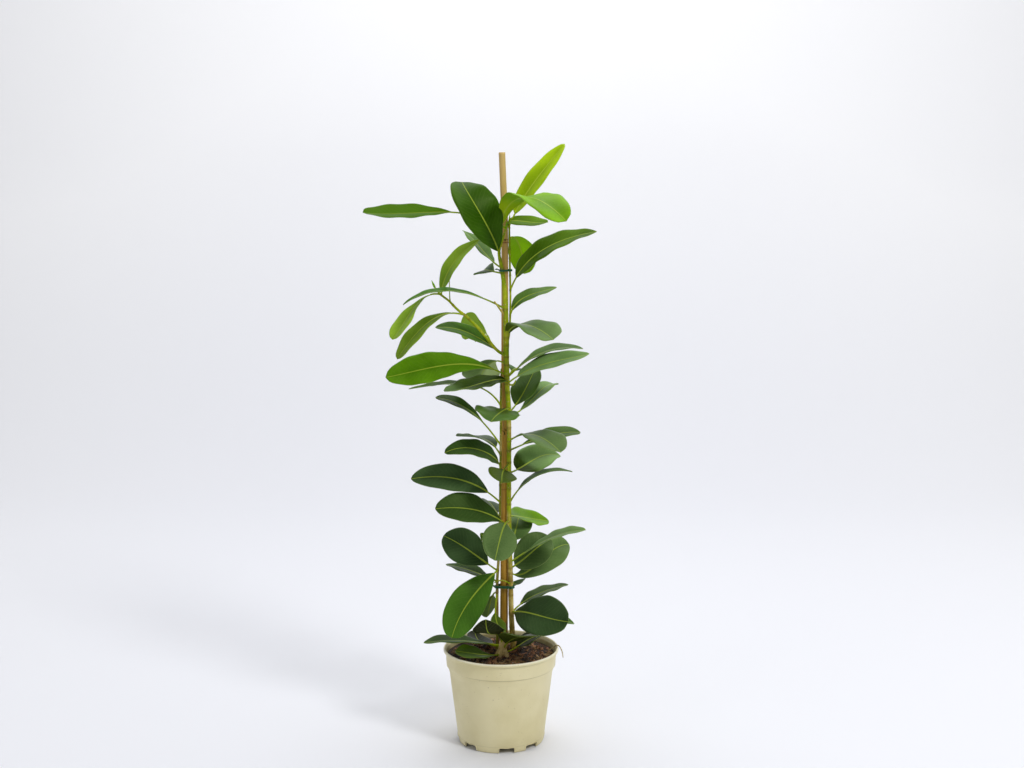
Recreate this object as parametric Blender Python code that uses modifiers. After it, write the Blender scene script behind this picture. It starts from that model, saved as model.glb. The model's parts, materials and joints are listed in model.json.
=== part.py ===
# Potted indian laurel fig: three leafy cuttings tied to a bamboo cane in a round nursery pot.
# Lengths in the tables are millimetres and angles are degrees; the scene itself is in metres.
# +Z is up, -Y is the front, and the origin is the middle of the pot's underside.

import math

import bpy
import numpy as np

MM = 0.001

# Pot: a moulded nursery pot of 17 cm, its profile as (radius, height), inside first.
POT_STEPS = 44
POT_PROFILE = [
    (0, 2.2), (18, 2.2), (24, 9.2), (61, 9.2), (62.4, 10.6), (74.2, 105.5), (76.4, 112.8), (78.6, 115.5),
    (79.6, 134.5), (81.2, 137), (81.8, 139.2), (82.6, 140.4), (83.6, 140.8), (84.6, 140.2), (85, 138.8),
    (85, 137.2), (84.4, 136), (83.2, 135.2), (81.6, 134.8), (80.5, 115.6), (80.1, 114.7), (78.2, 114),
    (77.9, 113.2), (76, 105.4), (63.6, 3.4), (63.1, 1.6), (62, 0.5), (60.6, 0), (59.4, 0), (59.2, 7),
    (26.5, 7), (20.5, 0), (0, 0),
]
# The notches of the foot stand in pairs. The first pair's middle is 26.6 degrees right of the front.
NOTCH_PAIRS = 4
PAIR_FIRST = 26.6
PAIR_HALF = 18.6
NOTCH_FOOT_WIDTH = 22
NOTCH_TOP_WIDTH = 21
NOTCH_HEIGHT = 8.2
DRAIN_RADIUS = 4.5
DRAIN_CIRCLE = 44

# Soil: its top lies about 10 mm under the rim, rolls gently and rises to a low mound at the foot of the tall stem.
SOIL_PROFILE = [(0, 131), (20, 131), (40, 130.6), (58, 130), (70, 130), (78.4, 129.6), (78.1, 116.4), (75.9, 113.2),
                (73.6, 105.2), (62, 12), (60.4, 9.6), (23.6, 9.6), (0, 9.6)]
SOIL_STEPS = 36
SOIL_ROLL = 0.7
MOUND = (13, 18, 5.5, 16)  # its middle, its height and how far it spreads
HOLE_GAP = 0.4

# Bamboo cane: where its middle runs, and its radius at each point. Two pale rings mark its nodes.
CANE = [
    (4, 7, 20, 6.0), (4, 7, 130, 6.0), (4.6, 7, 200, 5.8), (5, 7, 270, 5.7), (5.4, 7, 390, 5.5),
    (5.8, 7, 461, 5.4), (5.8, 7, 465, 5.9), (5.8, 7, 469, 5.3), (6, 7, 610, 5.1), (6, 7, 732, 4.8),
    (6, 7, 736, 5.3), (5.9, 7, 740, 4.9), (5.4, 7, 780, 4.8), (3.4, 7, 830, 4.7), (2, 7, 864, 4.7),
]

# Stems: where the middle of each runs, and its radius.
TALL_STEM = [
    (18, 11, 82, 4.2), (18, 11, 138, 4.2), (16.8, 4.4, 158, 4.1), (15, 0, 200, 3.8), (14, 0, 250, 3.6),
    (12, -1, 333, 3.4), (12, -2, 407, 3.3), (12, -2.6, 459, 3.3), (11.2, -3, 503, 3.5), (9.4, -3.4, 532, 3.6),
    (8, -4, 575, 4.1), (8, -4.4, 600, 4.1), (6.4, -4.4, 660, 3.6), (2.6, -4.4, 695, 2.9), (-2, -4.4, 722, 2.1),
    (3, -5.4, 742, 1.6), (8, -6, 757, 1.2),
]
SHOOT = [
    (8, -4, 584, 1.6), (11, -2, 598, 1.5), (13, 1.5, 613, 1.5), (14, 4.4, 654, 1.5), (13.4, 5, 697, 1.5),
    (12.6, 4, 740, 1.5), (12.4, 3, 764, 1.3),
]
BRANCH = [
    (7, -5, 574, 2.3), (4, -6, 577, 2.3), (-7, -8, 585, 2.2), (-30, -10, 613, 2.1), (-48, -10, 631, 2.0),
    (-62, -8, 642, 1.8), (-74, -6, 654, 1.6), (-87, -2, 664, 1.5), (-97, 1, 677, 1.0),
]
LEFT_STEM = [
    (-5.4, 7, 82, 2.3), (-5.4, 7, 134, 2.3), (-5.4, 5, 160, 2.2), (-5.6, 1, 226, 2.2), (-5, 0, 250, 2.1),
    (-2.6, -1, 288, 2.0), (-1.2, -1.2, 348, 1.8), (-0.6, -1.4, 407, 1.7), (0, -1.4, 466, 1.6), (0, -1.4, 510, 1.5),
    (0.8, -1.8, 556, 1.1),
]
SHORT_STEM = [
    (2, -12, 92, 5.4), (2, -12.4, 133.2, 5.6), (2, -12.4, 134.8, 8.4), (2.2, -12.6, 139, 6.6), (2.6, -12.4, 146, 5.7),
    (3, -12, 156, 5.0),
]
# Small growth with no blade: an old leaf stalk across the cane, a cut stub, a stipule on the branch, a bud.
OLD_STALK = [(14, 0, 236, 1.4), (12, -5.4, 239, 1.1), (5, -8, 243, 1.1), (-3, -8.4, 243.4, 1.1), (-9.5, -7, 240, 1.0)]
STUB = [(8, -4, 604, 2.0), (1, -8, 614, 1.5), (-8.6, -12, 628, 1.2)]
STIPULE = [(-72, -6.4, 652, 1.2), (-72.6, -7, 660, 0.8), (-73, -8, 684, 0.6)]
SIDE_BUD = [(9.6, -3.4, 533, 1.6), (18, -6, 533, 1.3), (22, -7, 540, 0.7)]

# Ties: wire loops round the stems and the cane, as (height, wire radius, the rods inside, start of its tail).
TIE_GAP = 0.35
TIE_STEPS = 26
TOP_TIE = 697
MIDDLE_TIE = 497
LOWER_TIE = 232
WIRE = 0.8

# Dry twig that lies over the rim on the right.
TWIG = [
    (70, 5, 133.4, 0.7), (77, 3, 138.2, 0.8), (82, 1.4, 142.4, 0.8), (86, 0.4, 141.6, 0.8), (89, 0, 137, 0.8),
    (91, 0, 131, 0.7), (92, 0, 123.6, 0.5),
]


def row(height, reach, rise, fall, width, roll, swing=0, twist=0, peak=0.57, stalk=18, arch=0.38, tip=0.6,
        base=0.8):
    """One leaf. It leaves its stem at this height and ends at reach from there. rise and fall are the slopes of its
    midrib at the two ends, swing turns it sideways, roll and twist turn the blade about the midrib, and peak is how
    far along the blade it is widest. tip and base say how its ends narrow: 0.5 is round, 1 is pointed."""
    return {
        "height": height, "reach": reach, "rise": rise, "fall": fall, "width": width, "roll": roll,
        "swing": swing, "twist": twist, "peak": peak, "stalk": stalk, "arch": arch,
        "tip": tip, "base": base,
    }


# Leaves of the tall stem, from the top down.
TALL_LEAVES = [
    row(757, (-206, 27, 22), 30, 5, 44, 30, swing=5, twist=-10, peak=0.56, stalk=80, tip=0.43),
    row(722, (92, -100, 48), 95, -40, 56, 0, swing=-10, twist=95, peak=0.63, stalk=30, tip=0.42, base=0.79, arch=0.6),
    row(712, (-54, -1, 110), 50, 20, 68, -55, swing=80, twist=-5, peak=0.52, stalk=16, tip=0.42, base=0.86),
    row(701, (-57, 75, 50), 15, 20, 38, 15, twist=5, peak=0.54, tip=0.67, base=0.82),
    row(693, (-28, 84, -4), 5, -15, 34, -30, swing=25, peak=0.56, base=0.82),
    row(642, (-144, -36, 9), 30, -35, 24, -10, twist=15, peak=0.54, stalk=30, tip=0.63, base=0.79),
    row(601, (65, -85, 6), 75, -10, 54, 10, swing=25, twist=35, stalk=4, tip=0.42, base=0.6),
    row(573, (-102, 5, 42), 35, -5, 34, -25, peak=0.52, tip=0.54, base=0.82),
    row(561, (-42, 61, -35), 38, -30, 58, 20, swing=30, twist=5, peak=0.67, stalk=12, tip=0.47, base=0.83),
    row(546, (-173, -22, 0), 30, -10, 48, -60, peak=0.66, stalk=14, tip=0.55, base=0.76),
    row(542, (111, 34, 39), 45, -10, 42, 5, twist=10, peak=0.59, tip=0.64, base=0.84),
    row(534, (117, -22, 46), 40, 15, 44, 25, peak=0.44, tip=0.62, base=0.71),
    row(541, (15, 48, 8), 40, -20, 30, 15, swing=-12, base=0.82),
    row(521, (-88, -76, 13), 112, 8, 48, -10, twist=30, peak=0.63, stalk=8, tip=0.67, base=0.64),
    row(487, (70, 75, 35), 5, -20, 38, 0, swing=-10, twist=5, peak=0.62, tip=0.63, base=0.81),
    row(491, (40, 63, 57), 30, 30, 48, -5, swing=-10, twist=-20, peak=0.48, tip=0.62, base=0.79),
    row(499, (-24, -102, -4), 0, -10, 66, -10, twist=-5, peak=0.58, tip=0.56, base=0.83),
    row(450, (72, -90, 0), 35, -20, 56, 5, swing=10, twist=10, peak=0.6, stalk=12, tip=0.58, base=0.86),
    row(436, (105, 34, 21), 20, -5, 38, 15, twist=10, peak=0.6, tip=0.56, base=0.81),
    row(403, (77, 66, 12), 0, -25, 52, 30, swing=10, peak=0.42, tip=0.75, base=0.64),
    row(418, (-10, -71, -15), -15, -25, 44, -20, swing=-10, twist=-5, peak=0.58, stalk=28, tip=0.43, base=0.81),
    row(356, (93, 22, 44), 65, -15, 36, -5, peak=0.53, stalk=22, tip=0.61, base=0.79),
    row(337, (60, 84, -25), -5, -10, 44, 30, swing=25, twist=10, peak=0.52, tip=0.53, base=0.79),
    row(322, (-106, -44, 37), 40, -5, 50, -50, swing=15, twist=-5, peak=0.58, stalk=14, tip=0.59, base=0.84),
    row(331, (-20, -70, -41), 15, -45, 52, -25, peak=0.55, tip=0.42, base=0.81),
    row(294, (15, 99, 25), 10, -5, 46, 15, swing=-5, twist=-50, peak=0.52, tip=0.64, base=0.72),
    row(269, (107, -69, 65), 35, 10, 32, 20, peak=0.54, stalk=26, tip=0.61, base=0.81),
    row(260, (61, 17, 39), 30, 0, 52, 55, swing=-30, peak=0.51, stalk=8, tip=0.63, base=0.6),
    row(253, (88, 47, 31), -34, -10, 56, 42, twist=-30, peak=0.68, stalk=5, tip=0.64, base=0.6),
    row(241, (18, 46, -14), -30, 5, 30, -35, stalk=8, base=0.6),
    row(192, (85, 37, 33), 40, 10, 36, 0, swing=5, twist=-5, peak=0.48, tip=0.53, base=0.77),
    row(193, (81, -88, 12), 20, 5, 64, 50, swing=-10, twist=20, peak=0.56, stalk=8, tip=0.42),
    row(190, (94, 28, -23), 10, -25, 36, 15, base=0.82),
]
# Leaves of the thin shoot that rises on the right of the tall stem.
SHOOT_LEAVES = [
    row(761, (79, 18, 115), 65, 50, 40, 30, peak=0.46, tip=0.5, base=0.63),
    row(757, (54, -40, 10), 125, 15, 26, 30, twist=-10, peak=0.5, stalk=3, tip=0.45, base=0.55),
    row(742, (22, 45, -53), 25, -85, 42, -15, twist=-15, peak=0.59, stalk=8, tip=0.42, base=0.78),
    row(668, (122, -25, 85), 70, 10, 46, 35, twist=-15, peak=0.42, stalk=20, tip=0.64, base=0.73),
    row(632, (68, 42, 38), 70, 15, 30, 15, twist=-10, peak=0.49, stalk=8, tip=0.62, base=0.78),
]
# Leaves of the side branch. The first number is the distance along the branch.
BRANCH_LEAVES = [
    row(125, (56, -26, 79), 80, 30, 32, 55, twist=-20, peak=0.44, stalk=4, tip=0.71, base=0.79),
    row(125, (-66, -53, -59), 15, -45, 38, 0, twist=-5, peak=0.71, stalk=14, tip=0.5, base=0.79),
    row(80, (-94, -36, -59), 20, -55, 34, -20, peak=0.62, stalk=14, tip=0.5, base=0.79),
    row(26, (-38, 65, -3), 65, -100, 46, 85, twist=-20, peak=0.7, stalk=8, tip=0.51, base=0.88),
]
# Leaves of the thin stem left of the cane.
LEFT_LEAVES = [
    row(502, (-134, 15, 22), 60, -10, 28, -5, swing=5, twist=5, peak=0.56, stalk=30, tip=0.65, base=0.82),
    row(444, (-95, 18, 67), 55, 5, 34, -10, twist=-10, peak=0.63, stalk=36, tip=0.57),
    row(429, (-67, 88, 13), 35, -5, 42, 10, swing=-10, twist=5, peak=0.49, tip=0.62),
    row(409, (-78, -64, 35), 40, -30, 34, -45, swing=50, twist=20, peak=0.46, tip=0.54, base=0.78),
    row(359, (-128, -26, 40), 45, -10, 42, -60, swing=10, peak=0.51, stalk=24, tip=0.57, base=0.78),
    row(336, (-19, 71, 10), 10, 0, 36, 20, peak=0.56, base=0.82),
    row(288, (-27, -4, 26), 60, 60, 16, -60, stalk=6, base=0.82),
    row(256, (-82, 57, 39), 25, 10, 54, -55, swing=5, peak=0.53, tip=0.55, base=0.74),
    row(240, (-78, 61, 10), 10, 0, 32, -5, twist=10, peak=0.5, tip=0.62),
    row(257, (-66, -51, -87), -15, -75, 54, -45, swing=20, twist=5, peak=0.58, stalk=8, tip=0.43, base=0.7),
    row(224, (13, -33, -51), -80, -20, 28, -20, swing=-55, peak=0.58, stalk=30, tip=0.54, base=0.85),
    row(223, (-16, 28, -46), -10, -60, 30, -10, stalk=14, base=0.82),
]
# Leaves of the short cut-back stem in front of the cane.
SHORT_LEAVES = [
    row(146, (-115, -18, 10), 10, -5, 42, 0, swing=-5, peak=0.58, tip=0.57, base=0.77),
    row(134, (-68, -34, 15), 5, 5, 40, -15, swing=35, twist=-5, peak=0.69, stalk=14, tip=0.52, base=0.83),
    row(146, (-23, -93, 68), 70, 80, 46, 10, swing=-10, peak=0.68, tip=0.67, base=0.84),
    row(145, (-43, 64, 4), -5, 30, 40, 10, swing=25, twist=5, peak=0.55, base=0.82),
    row(138, (50, -66, 43), 60, 15, 62, -10, swing=-5, twist=20, peak=0.46, tip=0.69, base=0.91),
    row(136, (58, 16, 20), -10, 0, 36, 10, swing=15, twist=-10, peak=0.5, stalk=24, tip=0.65, base=0.78),
]

STALK_RADIUS = 1.1
EDGE_THICK = 0.9
RIB_THICK = 2.0
FOLD = 12
BLADE_STATIONS = (0.0, 0.09, 0.24, 0.42, 0.6, 0.76, 0.89, 0.96, 1.0)


def slope_vector(slope, heading):
    level = math.cos(math.radians(slope))
    return np.array([level * math.cos(heading), level * math.sin(heading), math.sin(math.radians(slope))])


def stem_point(stem, height):
    """Middle of an upright stem at a height."""
    path = np.array(stem, float)
    return np.array([np.interp(height, path[:, 2], path[:, i]) for i in range(3)])


def branch_point(branch, along):
    """Middle of a branch at a distance from its foot."""
    path = np.array(branch, float)[1:]
    steps = np.linalg.norm(np.diff(path[:, :3], axis=0), axis=1)
    travelled = np.concatenate([[0.0], np.cumsum(steps)])
    return np.array([np.interp(along, travelled, path[:, i]) for i in range(3)])


def leaf_frames(foot, leaf, wanted):
    """Centre, side and normal of the leaf at each wanted distance share, and its whole length."""
    reach = np.array(leaf["reach"], float)
    heading = math.atan2(reach[1], reach[0])
    swing = math.radians(leaf["swing"])
    handle = leaf["arch"] * np.linalg.norm(reach)
    end = foot + reach
    first = foot + slope_vector(leaf["rise"], heading + swing) * handle
    second = end - slope_vector(leaf["fall"], heading - swing) * handle
    t = np.linspace(0, 1, 97)[:, None]
    curve = (1 - t) ** 3 * foot + 3 * (1 - t) ** 2 * t * first + 3 * (1 - t) * t**2 * second + t**3 * end
    tangent = np.gradient(curve, axis=0)
    tangent /= np.linalg.norm(tangent, axis=1)[:, None]
    level = np.array([math.sin(heading), -math.cos(heading), 0.0])
    side = level - (tangent @ level)[:, None] * tangent
    side /= np.linalg.norm(side, axis=1)[:, None]
    up = np.cross(side, tangent)
    travelled = np.concatenate([[0.0], np.cumsum(np.linalg.norm(np.diff(curve, axis=0), axis=1))])
    share = travelled / travelled[-1]
    roll = np.radians(leaf["roll"] + leaf["twist"] * (share - 0.6))[:, None]
    turned_side = side * np.cos(roll) - up * np.sin(roll)
    turned_up = up * np.cos(roll) + side * np.sin(roll)

    def at(values):
        found = np.stack([np.interp(wanted, share, values[:, i]) for i in range(3)], axis=1)
        return found

    middle, across, normal = at(curve), at(turned_side), at(turned_up)
    across /= np.linalg.norm(across, axis=1)[:, None]
    normal -= (normal * across).sum(axis=1)[:, None] * across
    normal /= np.linalg.norm(normal, axis=1)[:, None]
    return middle, across, normal


def leaf_length(foot, leaf):
    middle, _, _ = leaf_frames(foot, leaf, np.linspace(0, 1, 49))
    return np.linalg.norm(np.diff(middle, axis=0), axis=1).sum()


def half_width(leaf, v):
    """Half width of the blade at each share of its length: an egg shape that ends in a short drip tip."""
    power = math.log(0.5) / math.log(leaf["peak"])
    swell = np.clip(np.sin(np.pi * np.clip(v, 0, 1) ** power), 0, 1)
    egg = swell ** np.where(v < leaf["peak"], leaf["base"], leaf["tip"]) * leaf["width"] / 2
    point = np.where(v > 0.9, 1.9 - 1.3 * (v - 0.9) / 0.1, 0)
    return np.maximum(egg, point)


def leaf_shell(foot, leaf):
    """Vertices and triangles of one leaf, from a root inside its stem to its tip, in millimetres."""
    bare = leaf["stalk"] / leaf_length(foot, leaf)
    blade = np.array(BLADE_STATIONS)
    share = np.concatenate([[0.0, bare * 0.55], bare + blade * (1 - bare)])
    middle, across, normal = leaf_frames(foot, leaf, share)
    wide = np.concatenate([[STALK_RADIUS] * 2, np.maximum(half_width(leaf, blade), STALK_RADIUS * 0.55)])
    wide[2] = STALK_RADIUS
    fold = np.radians(np.concatenate([[0, 0, 0, FOLD * 0.6], [FOLD] * (len(blade) - 2)]))
    edge = np.concatenate([[0.55] * 3, [EDGE_THICK / 2] * (len(blade) - 1)])
    rib = np.concatenate([[STALK_RADIUS] * 3, np.linspace(RIB_THICK / 2, 0.5, len(blade) - 1)])
    lift = normal * (wide * np.sin(fold))[:, None]
    out = across * (wide * np.cos(fold))[:, None]
    thick = normal * edge[:, None]
    ridge = normal * rib[:, None]
    ring = [middle - out + lift + thick, middle + ridge * 0.6, middle + out + lift + thick,
            middle + out + lift - thick, middle - ridge, middle - out + lift - thick]
    points = np.stack(ring, axis=1).reshape(-1, 3)
    faces = [(0, 5, 4), (0, 4, 1), (1, 4, 3), (1, 3, 2)]
    for j in range(len(share) - 1):
        a, b = 6 * j, 6 * j + 6
        for left, right in ((0, 1), (5, 4)):
            pair = [(a + left, a + right, b + left), (a + right, b + right, b + left)]
            faces += pair if left == 0 else [p[::-1] for p in pair]
        for left, right in ((1, 2), (4, 3)):
            pair = [(a + left, a + right, b + right), (a + left, b + right, b + left)]
            faces += pair if left == 1 else [p[::-1] for p in pair]
        for low, high in ((2, 3), (5, 0)):
            faces += [(a + low, a + high, b + high), (a + low, b + high, b + low)]
    last = 6 * (len(share) - 1)
    faces += [(last, last + 4, last + 5), (last, last + 1, last + 4), (last + 1, last + 3, last + 4),
              (last + 1, last + 2, last + 3)]
    return points, faces


def loop_round(rods, height, wire):
    """A belt round upright rods at a height, as points for the wire's middle."""
    found = []
    for rod in rods:
        x, y, _ = stem_point(rod, height)
        radius = np.interp(height, [p[2] for p in rod], [p[3] for p in rod])
        found.append((x, y, radius + TIE_GAP + wire))
    belt = []
    for i in range(TIE_STEPS):
        angle = 2 * math.pi * i / TIE_STEPS
        way = (math.cos(angle), math.sin(angle))
        x, y, radius = max(found, key=lambda c: c[0] * way[0] + c[1] * way[1] + c[2])
        belt.append((x + radius * way[0], y + radius * way[1], height))
    return belt


# Build every node


def clear_scene():
    for item in list(bpy.data.objects):
        bpy.data.objects.remove(item)


def new_collection(name):
    made = bpy.data.collections.new(name)
    bpy.context.scene.collection.children.link(made)
    return made


def link_mesh(name, points, faces, collection):
    mesh = bpy.data.meshes.new(name)
    mesh.from_pydata([tuple(float(c) * MM for c in p) for p in points], [], faces)
    mesh.update()
    made = bpy.data.objects.new(name, mesh)
    collection.objects.link(made)
    return made


def plain_mesh(source, name, collection):
    """The evaluated mesh of an object as an object of its own, its seams welded. The source is removed."""
    graph = bpy.context.evaluated_depsgraph_get()
    mesh = bpy.data.meshes.new_from_object(source.evaluated_get(graph))
    bpy.data.objects.remove(source)
    mesh.name = name
    made = bpy.data.objects.new(name, mesh)
    collection.objects.link(made)
    weld = made.modifiers.new("weld", "WELD")
    weld.merge_threshold = 0.00001
    apply_modifiers(made)
    return made


def apply_modifiers(item):
    graph = bpy.context.evaluated_depsgraph_get()
    mesh = bpy.data.meshes.new_from_object(item.evaluated_get(graph))
    item.modifiers.clear()
    item.data = mesh
    mesh.name = item.name


def rod(name, path, collection, closed=False, wire=None):
    """A round rod along a path of (x, y, z, radius), or a closed loop of wire."""
    curve = bpy.data.curves.new(name, "CURVE")
    curve.dimensions = "3D"
    curve.bevel_depth = MM
    curve.bevel_resolution = 2
    curve.use_fill_caps = not closed
    curve.twist_mode = "MINIMUM"
    line = curve.splines.new("POLY")
    line.points.add(len(path) - 1)
    for point, spot in zip(line.points, path):
        point.co = (spot[0] * MM, spot[1] * MM, spot[2] * MM, 1)
        point.radius = wire if closed else spot[3]
    line.use_cyclic_u = closed
    source = bpy.data.objects.new(name + "_path", curve)
    collection.objects.link(source)
    return plain_mesh(source, name, collection)


def turned(name, profile, steps, collection):
    """A solid of revolution about the Z axis from a profile of (radius, height), axis to axis."""
    made = link_mesh(name, [(r, 0, z) for r, z in profile], [], collection)
    made.data.edges.add(len(profile) - 1)
    for i, edge in enumerate(made.data.edges):
        edge.vertices = (i, i + 1)
    screw = made.modifiers.new("screw", "SCREW")
    screw.axis = "Z"
    screw.steps = steps
    screw.render_steps = steps
    screw.use_merge_vertices = True
    screw.merge_threshold = 0.00001
    screw.use_normal_calculate = True
    apply_modifiers(made)
    return made


def boolean(item, operation, others):
    """Joins to or cuts from an object every object of a collection, then removes them."""
    step = item.modifiers.new(operation.lower(), "BOOLEAN")
    step.operation = operation
    step.operand_type = "COLLECTION"
    step.collection = others
    step.solver = "MANIFOLD"
    apply_modifiers(item)
    for other in list(others.objects):
        bpy.data.objects.remove(other)
    bpy.data.collections.remove(others)


def material(name, colour, roughness):
    made = bpy.data.materials.new(name)
    made.use_nodes = True
    shader = made.node_tree.nodes["Principled BSDF"]
    shader.inputs["Base Color"].default_value = (*colour, 1)
    shader.inputs["Roughness"].default_value = roughness
    return made


def finish(item, colour, roughness):
    item.data.materials.clear()
    item.data.materials.append(material(item.name, colour, roughness))
    item.data.shade_smooth()


def leafy_stem(name, stem, bare_rods, leaf_groups, collection, colour):
    """A stem joined with its bare growth and its leaves into one grown piece."""
    made = rod(name, stem, collection)
    extras = new_collection(name + "_growth")
    for i, path in enumerate(bare_rods):
        rod(f"{name}_rod_{i}", path, extras)
    for g, (place, carrier, leaves) in enumerate(leaf_groups):
        for i, leaf in enumerate(leaves):
            points, faces = leaf_shell(place(carrier, leaf["height"]), leaf)
            link_mesh(f"{name}_leaf_{g}_{i}", points, faces, extras)
    boolean(made, "UNION", extras)
    finish(made, colour, 0.4)
    return made


def build_pot(collection):
    pot = turned("pot", POT_PROFILE, POT_STEPS, collection)
    cutters = new_collection("pot_cutters")
    notches = [PAIR_FIRST + pair * 360 / NOTCH_PAIRS + half
               for pair in range(NOTCH_PAIRS) for half in (-PAIR_HALF, PAIR_HALF)]
    for i, degrees in enumerate(notches):
        angle = math.radians(degrees - 90)
        outward = np.array([math.cos(angle), math.sin(angle), 0])
        along = np.array([-math.sin(angle), math.cos(angle), 0])
        corners = [(-NOTCH_FOOT_WIDTH / 2 - 1, -2), (NOTCH_FOOT_WIDTH / 2 + 1, -2), (NOTCH_TOP_WIDTH / 2, NOTCH_HEIGHT),
                   (-NOTCH_TOP_WIDTH / 2, NOTCH_HEIGHT)]
        points = [outward * depth + along * x + np.array([0, 0, z]) for depth in (55, 70) for x, z in corners]
        faces = [(0, 1, 2, 3), (7, 6, 5, 4), (0, 4, 5, 1), (1, 5, 6, 2), (2, 6, 7, 3), (3, 7, 4, 0)]
        cutter = link_mesh(f"notch_{i}", points, [f[::-1] for f in faces], cutters)
        x, y = DRAIN_CIRCLE * outward[0], DRAIN_CIRCLE * outward[1]
        drain = rod(f"drain_{i}", [(x, y, 3, DRAIN_RADIUS), (x, y, 12, DRAIN_RADIUS)], cutters)
        for helper in (cutter, drain):
            helper.hide_render = True
            helper.display_type = "WIRE"
    boolean(pot, "DIFFERENCE", cutters)
    finish(pot, (0.60, 0.55, 0.38), 0.45)


def build_soil(collection):
    soil = turned("soil", SOIL_PROFILE, SOIL_STEPS, collection)
    for vertex in soil.data.vertices:
        x, y, z = (c / MM for c in vertex.co)
        if z > 129:
            roll = math.sin(x / 13 + 1) * math.cos(y / 11) + 0.6 * math.sin(y / 19 - x / 23)
            spread = math.hypot(x - MOUND[0], y - MOUND[1]) / MOUND[3]
            mound = MOUND[2] * math.exp(-spread * spread / 2)
            vertex.co.z = (z + mound + SOIL_ROLL * roll * (1 if math.hypot(x, y) < 75 else 0.3)) * MM
    holes = new_collection("soil_cutters")
    for i, path in enumerate((CANE, TALL_STEM, LEFT_STEM, SHORT_STEM)):
        x, y, z, radius = path[0]
        top = path[1]
        wide = max(radius, top[3]) + HOLE_GAP
        hole = rod(f"hole_{i}", [(x, y, z - 1, wide), (top[0], top[1], 143, wide)], holes)
        hole.hide_render = True
        hole.display_type = "WIRE"
    boolean(soil, "DIFFERENCE", holes)
    finish(soil, (0.05, 0.03, 0.02), 0.95)


def build():
    clear_scene()
    whole = new_collection("potted_indian_laurel_fig")
    build_pot(whole)
    build_soil(whole)
    cane = rod("bamboo_cane", CANE, whole)
    finish(cane, (0.45, 0.30, 0.12), 0.45)
    leafy_stem(
        "tall_stem", TALL_STEM, (SHOOT, BRANCH, OLD_STALK, STUB, STIPULE, SIDE_BUD),
        ((stem_point, TALL_STEM, TALL_LEAVES), (stem_point, SHOOT, SHOOT_LEAVES), (branch_point, BRANCH, BRANCH_LEAVES)),
        whole, (0.07, 0.17, 0.03),
    )
    leafy_stem("left_stem", LEFT_STEM, (), ((stem_point, LEFT_STEM, LEFT_LEAVES),), whole, (0.06, 0.16, 0.03))
    leafy_stem("short_stem", SHORT_STEM, (), ((stem_point, SHORT_STEM, SHORT_LEAVES),), whole, (0.05, 0.10, 0.03))
    ties = (("top_tie", (TALL_STEM, SHOOT, CANE), TOP_TIE), ("middle_tie", (LEFT_STEM, CANE), MIDDLE_TIE),
            ("lower_tie", (TALL_STEM, LEFT_STEM, CANE), LOWER_TIE))
    for name, rods, height in ties:
        wire = 0.6 if name == "middle_tie" else WIRE
        tie = rod(name, loop_round(rods, height, wire), whole, closed=True, wire=wire)
        finish(tie, (0.02, 0.09, 0.04), 0.45)
    twig = rod("dry_twig", TWIG, whole)
    finish(twig, (0.40, 0.30, 0.14), 0.8)


build()
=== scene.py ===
import json
import math

import bmesh
import bpy
import numpy as np
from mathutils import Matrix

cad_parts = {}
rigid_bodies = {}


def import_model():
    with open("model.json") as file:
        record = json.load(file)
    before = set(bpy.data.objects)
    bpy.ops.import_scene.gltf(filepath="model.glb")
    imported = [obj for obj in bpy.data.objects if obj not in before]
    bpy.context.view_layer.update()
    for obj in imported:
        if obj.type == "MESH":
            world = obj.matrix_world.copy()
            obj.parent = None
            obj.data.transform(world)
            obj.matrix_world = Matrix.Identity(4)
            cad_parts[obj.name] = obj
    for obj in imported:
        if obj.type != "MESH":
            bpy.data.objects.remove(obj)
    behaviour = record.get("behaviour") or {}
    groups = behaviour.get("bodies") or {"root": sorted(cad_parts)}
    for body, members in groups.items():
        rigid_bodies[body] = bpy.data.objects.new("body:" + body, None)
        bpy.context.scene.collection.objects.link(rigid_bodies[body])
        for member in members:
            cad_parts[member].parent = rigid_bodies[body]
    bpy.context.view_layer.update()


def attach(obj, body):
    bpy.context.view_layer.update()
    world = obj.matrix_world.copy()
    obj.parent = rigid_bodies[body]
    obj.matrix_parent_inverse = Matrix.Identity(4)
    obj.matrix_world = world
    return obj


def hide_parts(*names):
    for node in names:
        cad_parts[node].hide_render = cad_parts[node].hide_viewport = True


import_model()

# Potted indian laurel fig. Tables are in millimetres and degrees, the scene in metres.
millimetre = 0.001


# A colour as a screen shows it, three numbers from 0 to 255, in linear light.
def toLinear(colour):
    shares = [channel / 255 for channel in colour]
    return [share / 12.92 if share <= 0.04045 else ((share + 0.055) / 1.055) ** 2.4 for share in shares]


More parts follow.
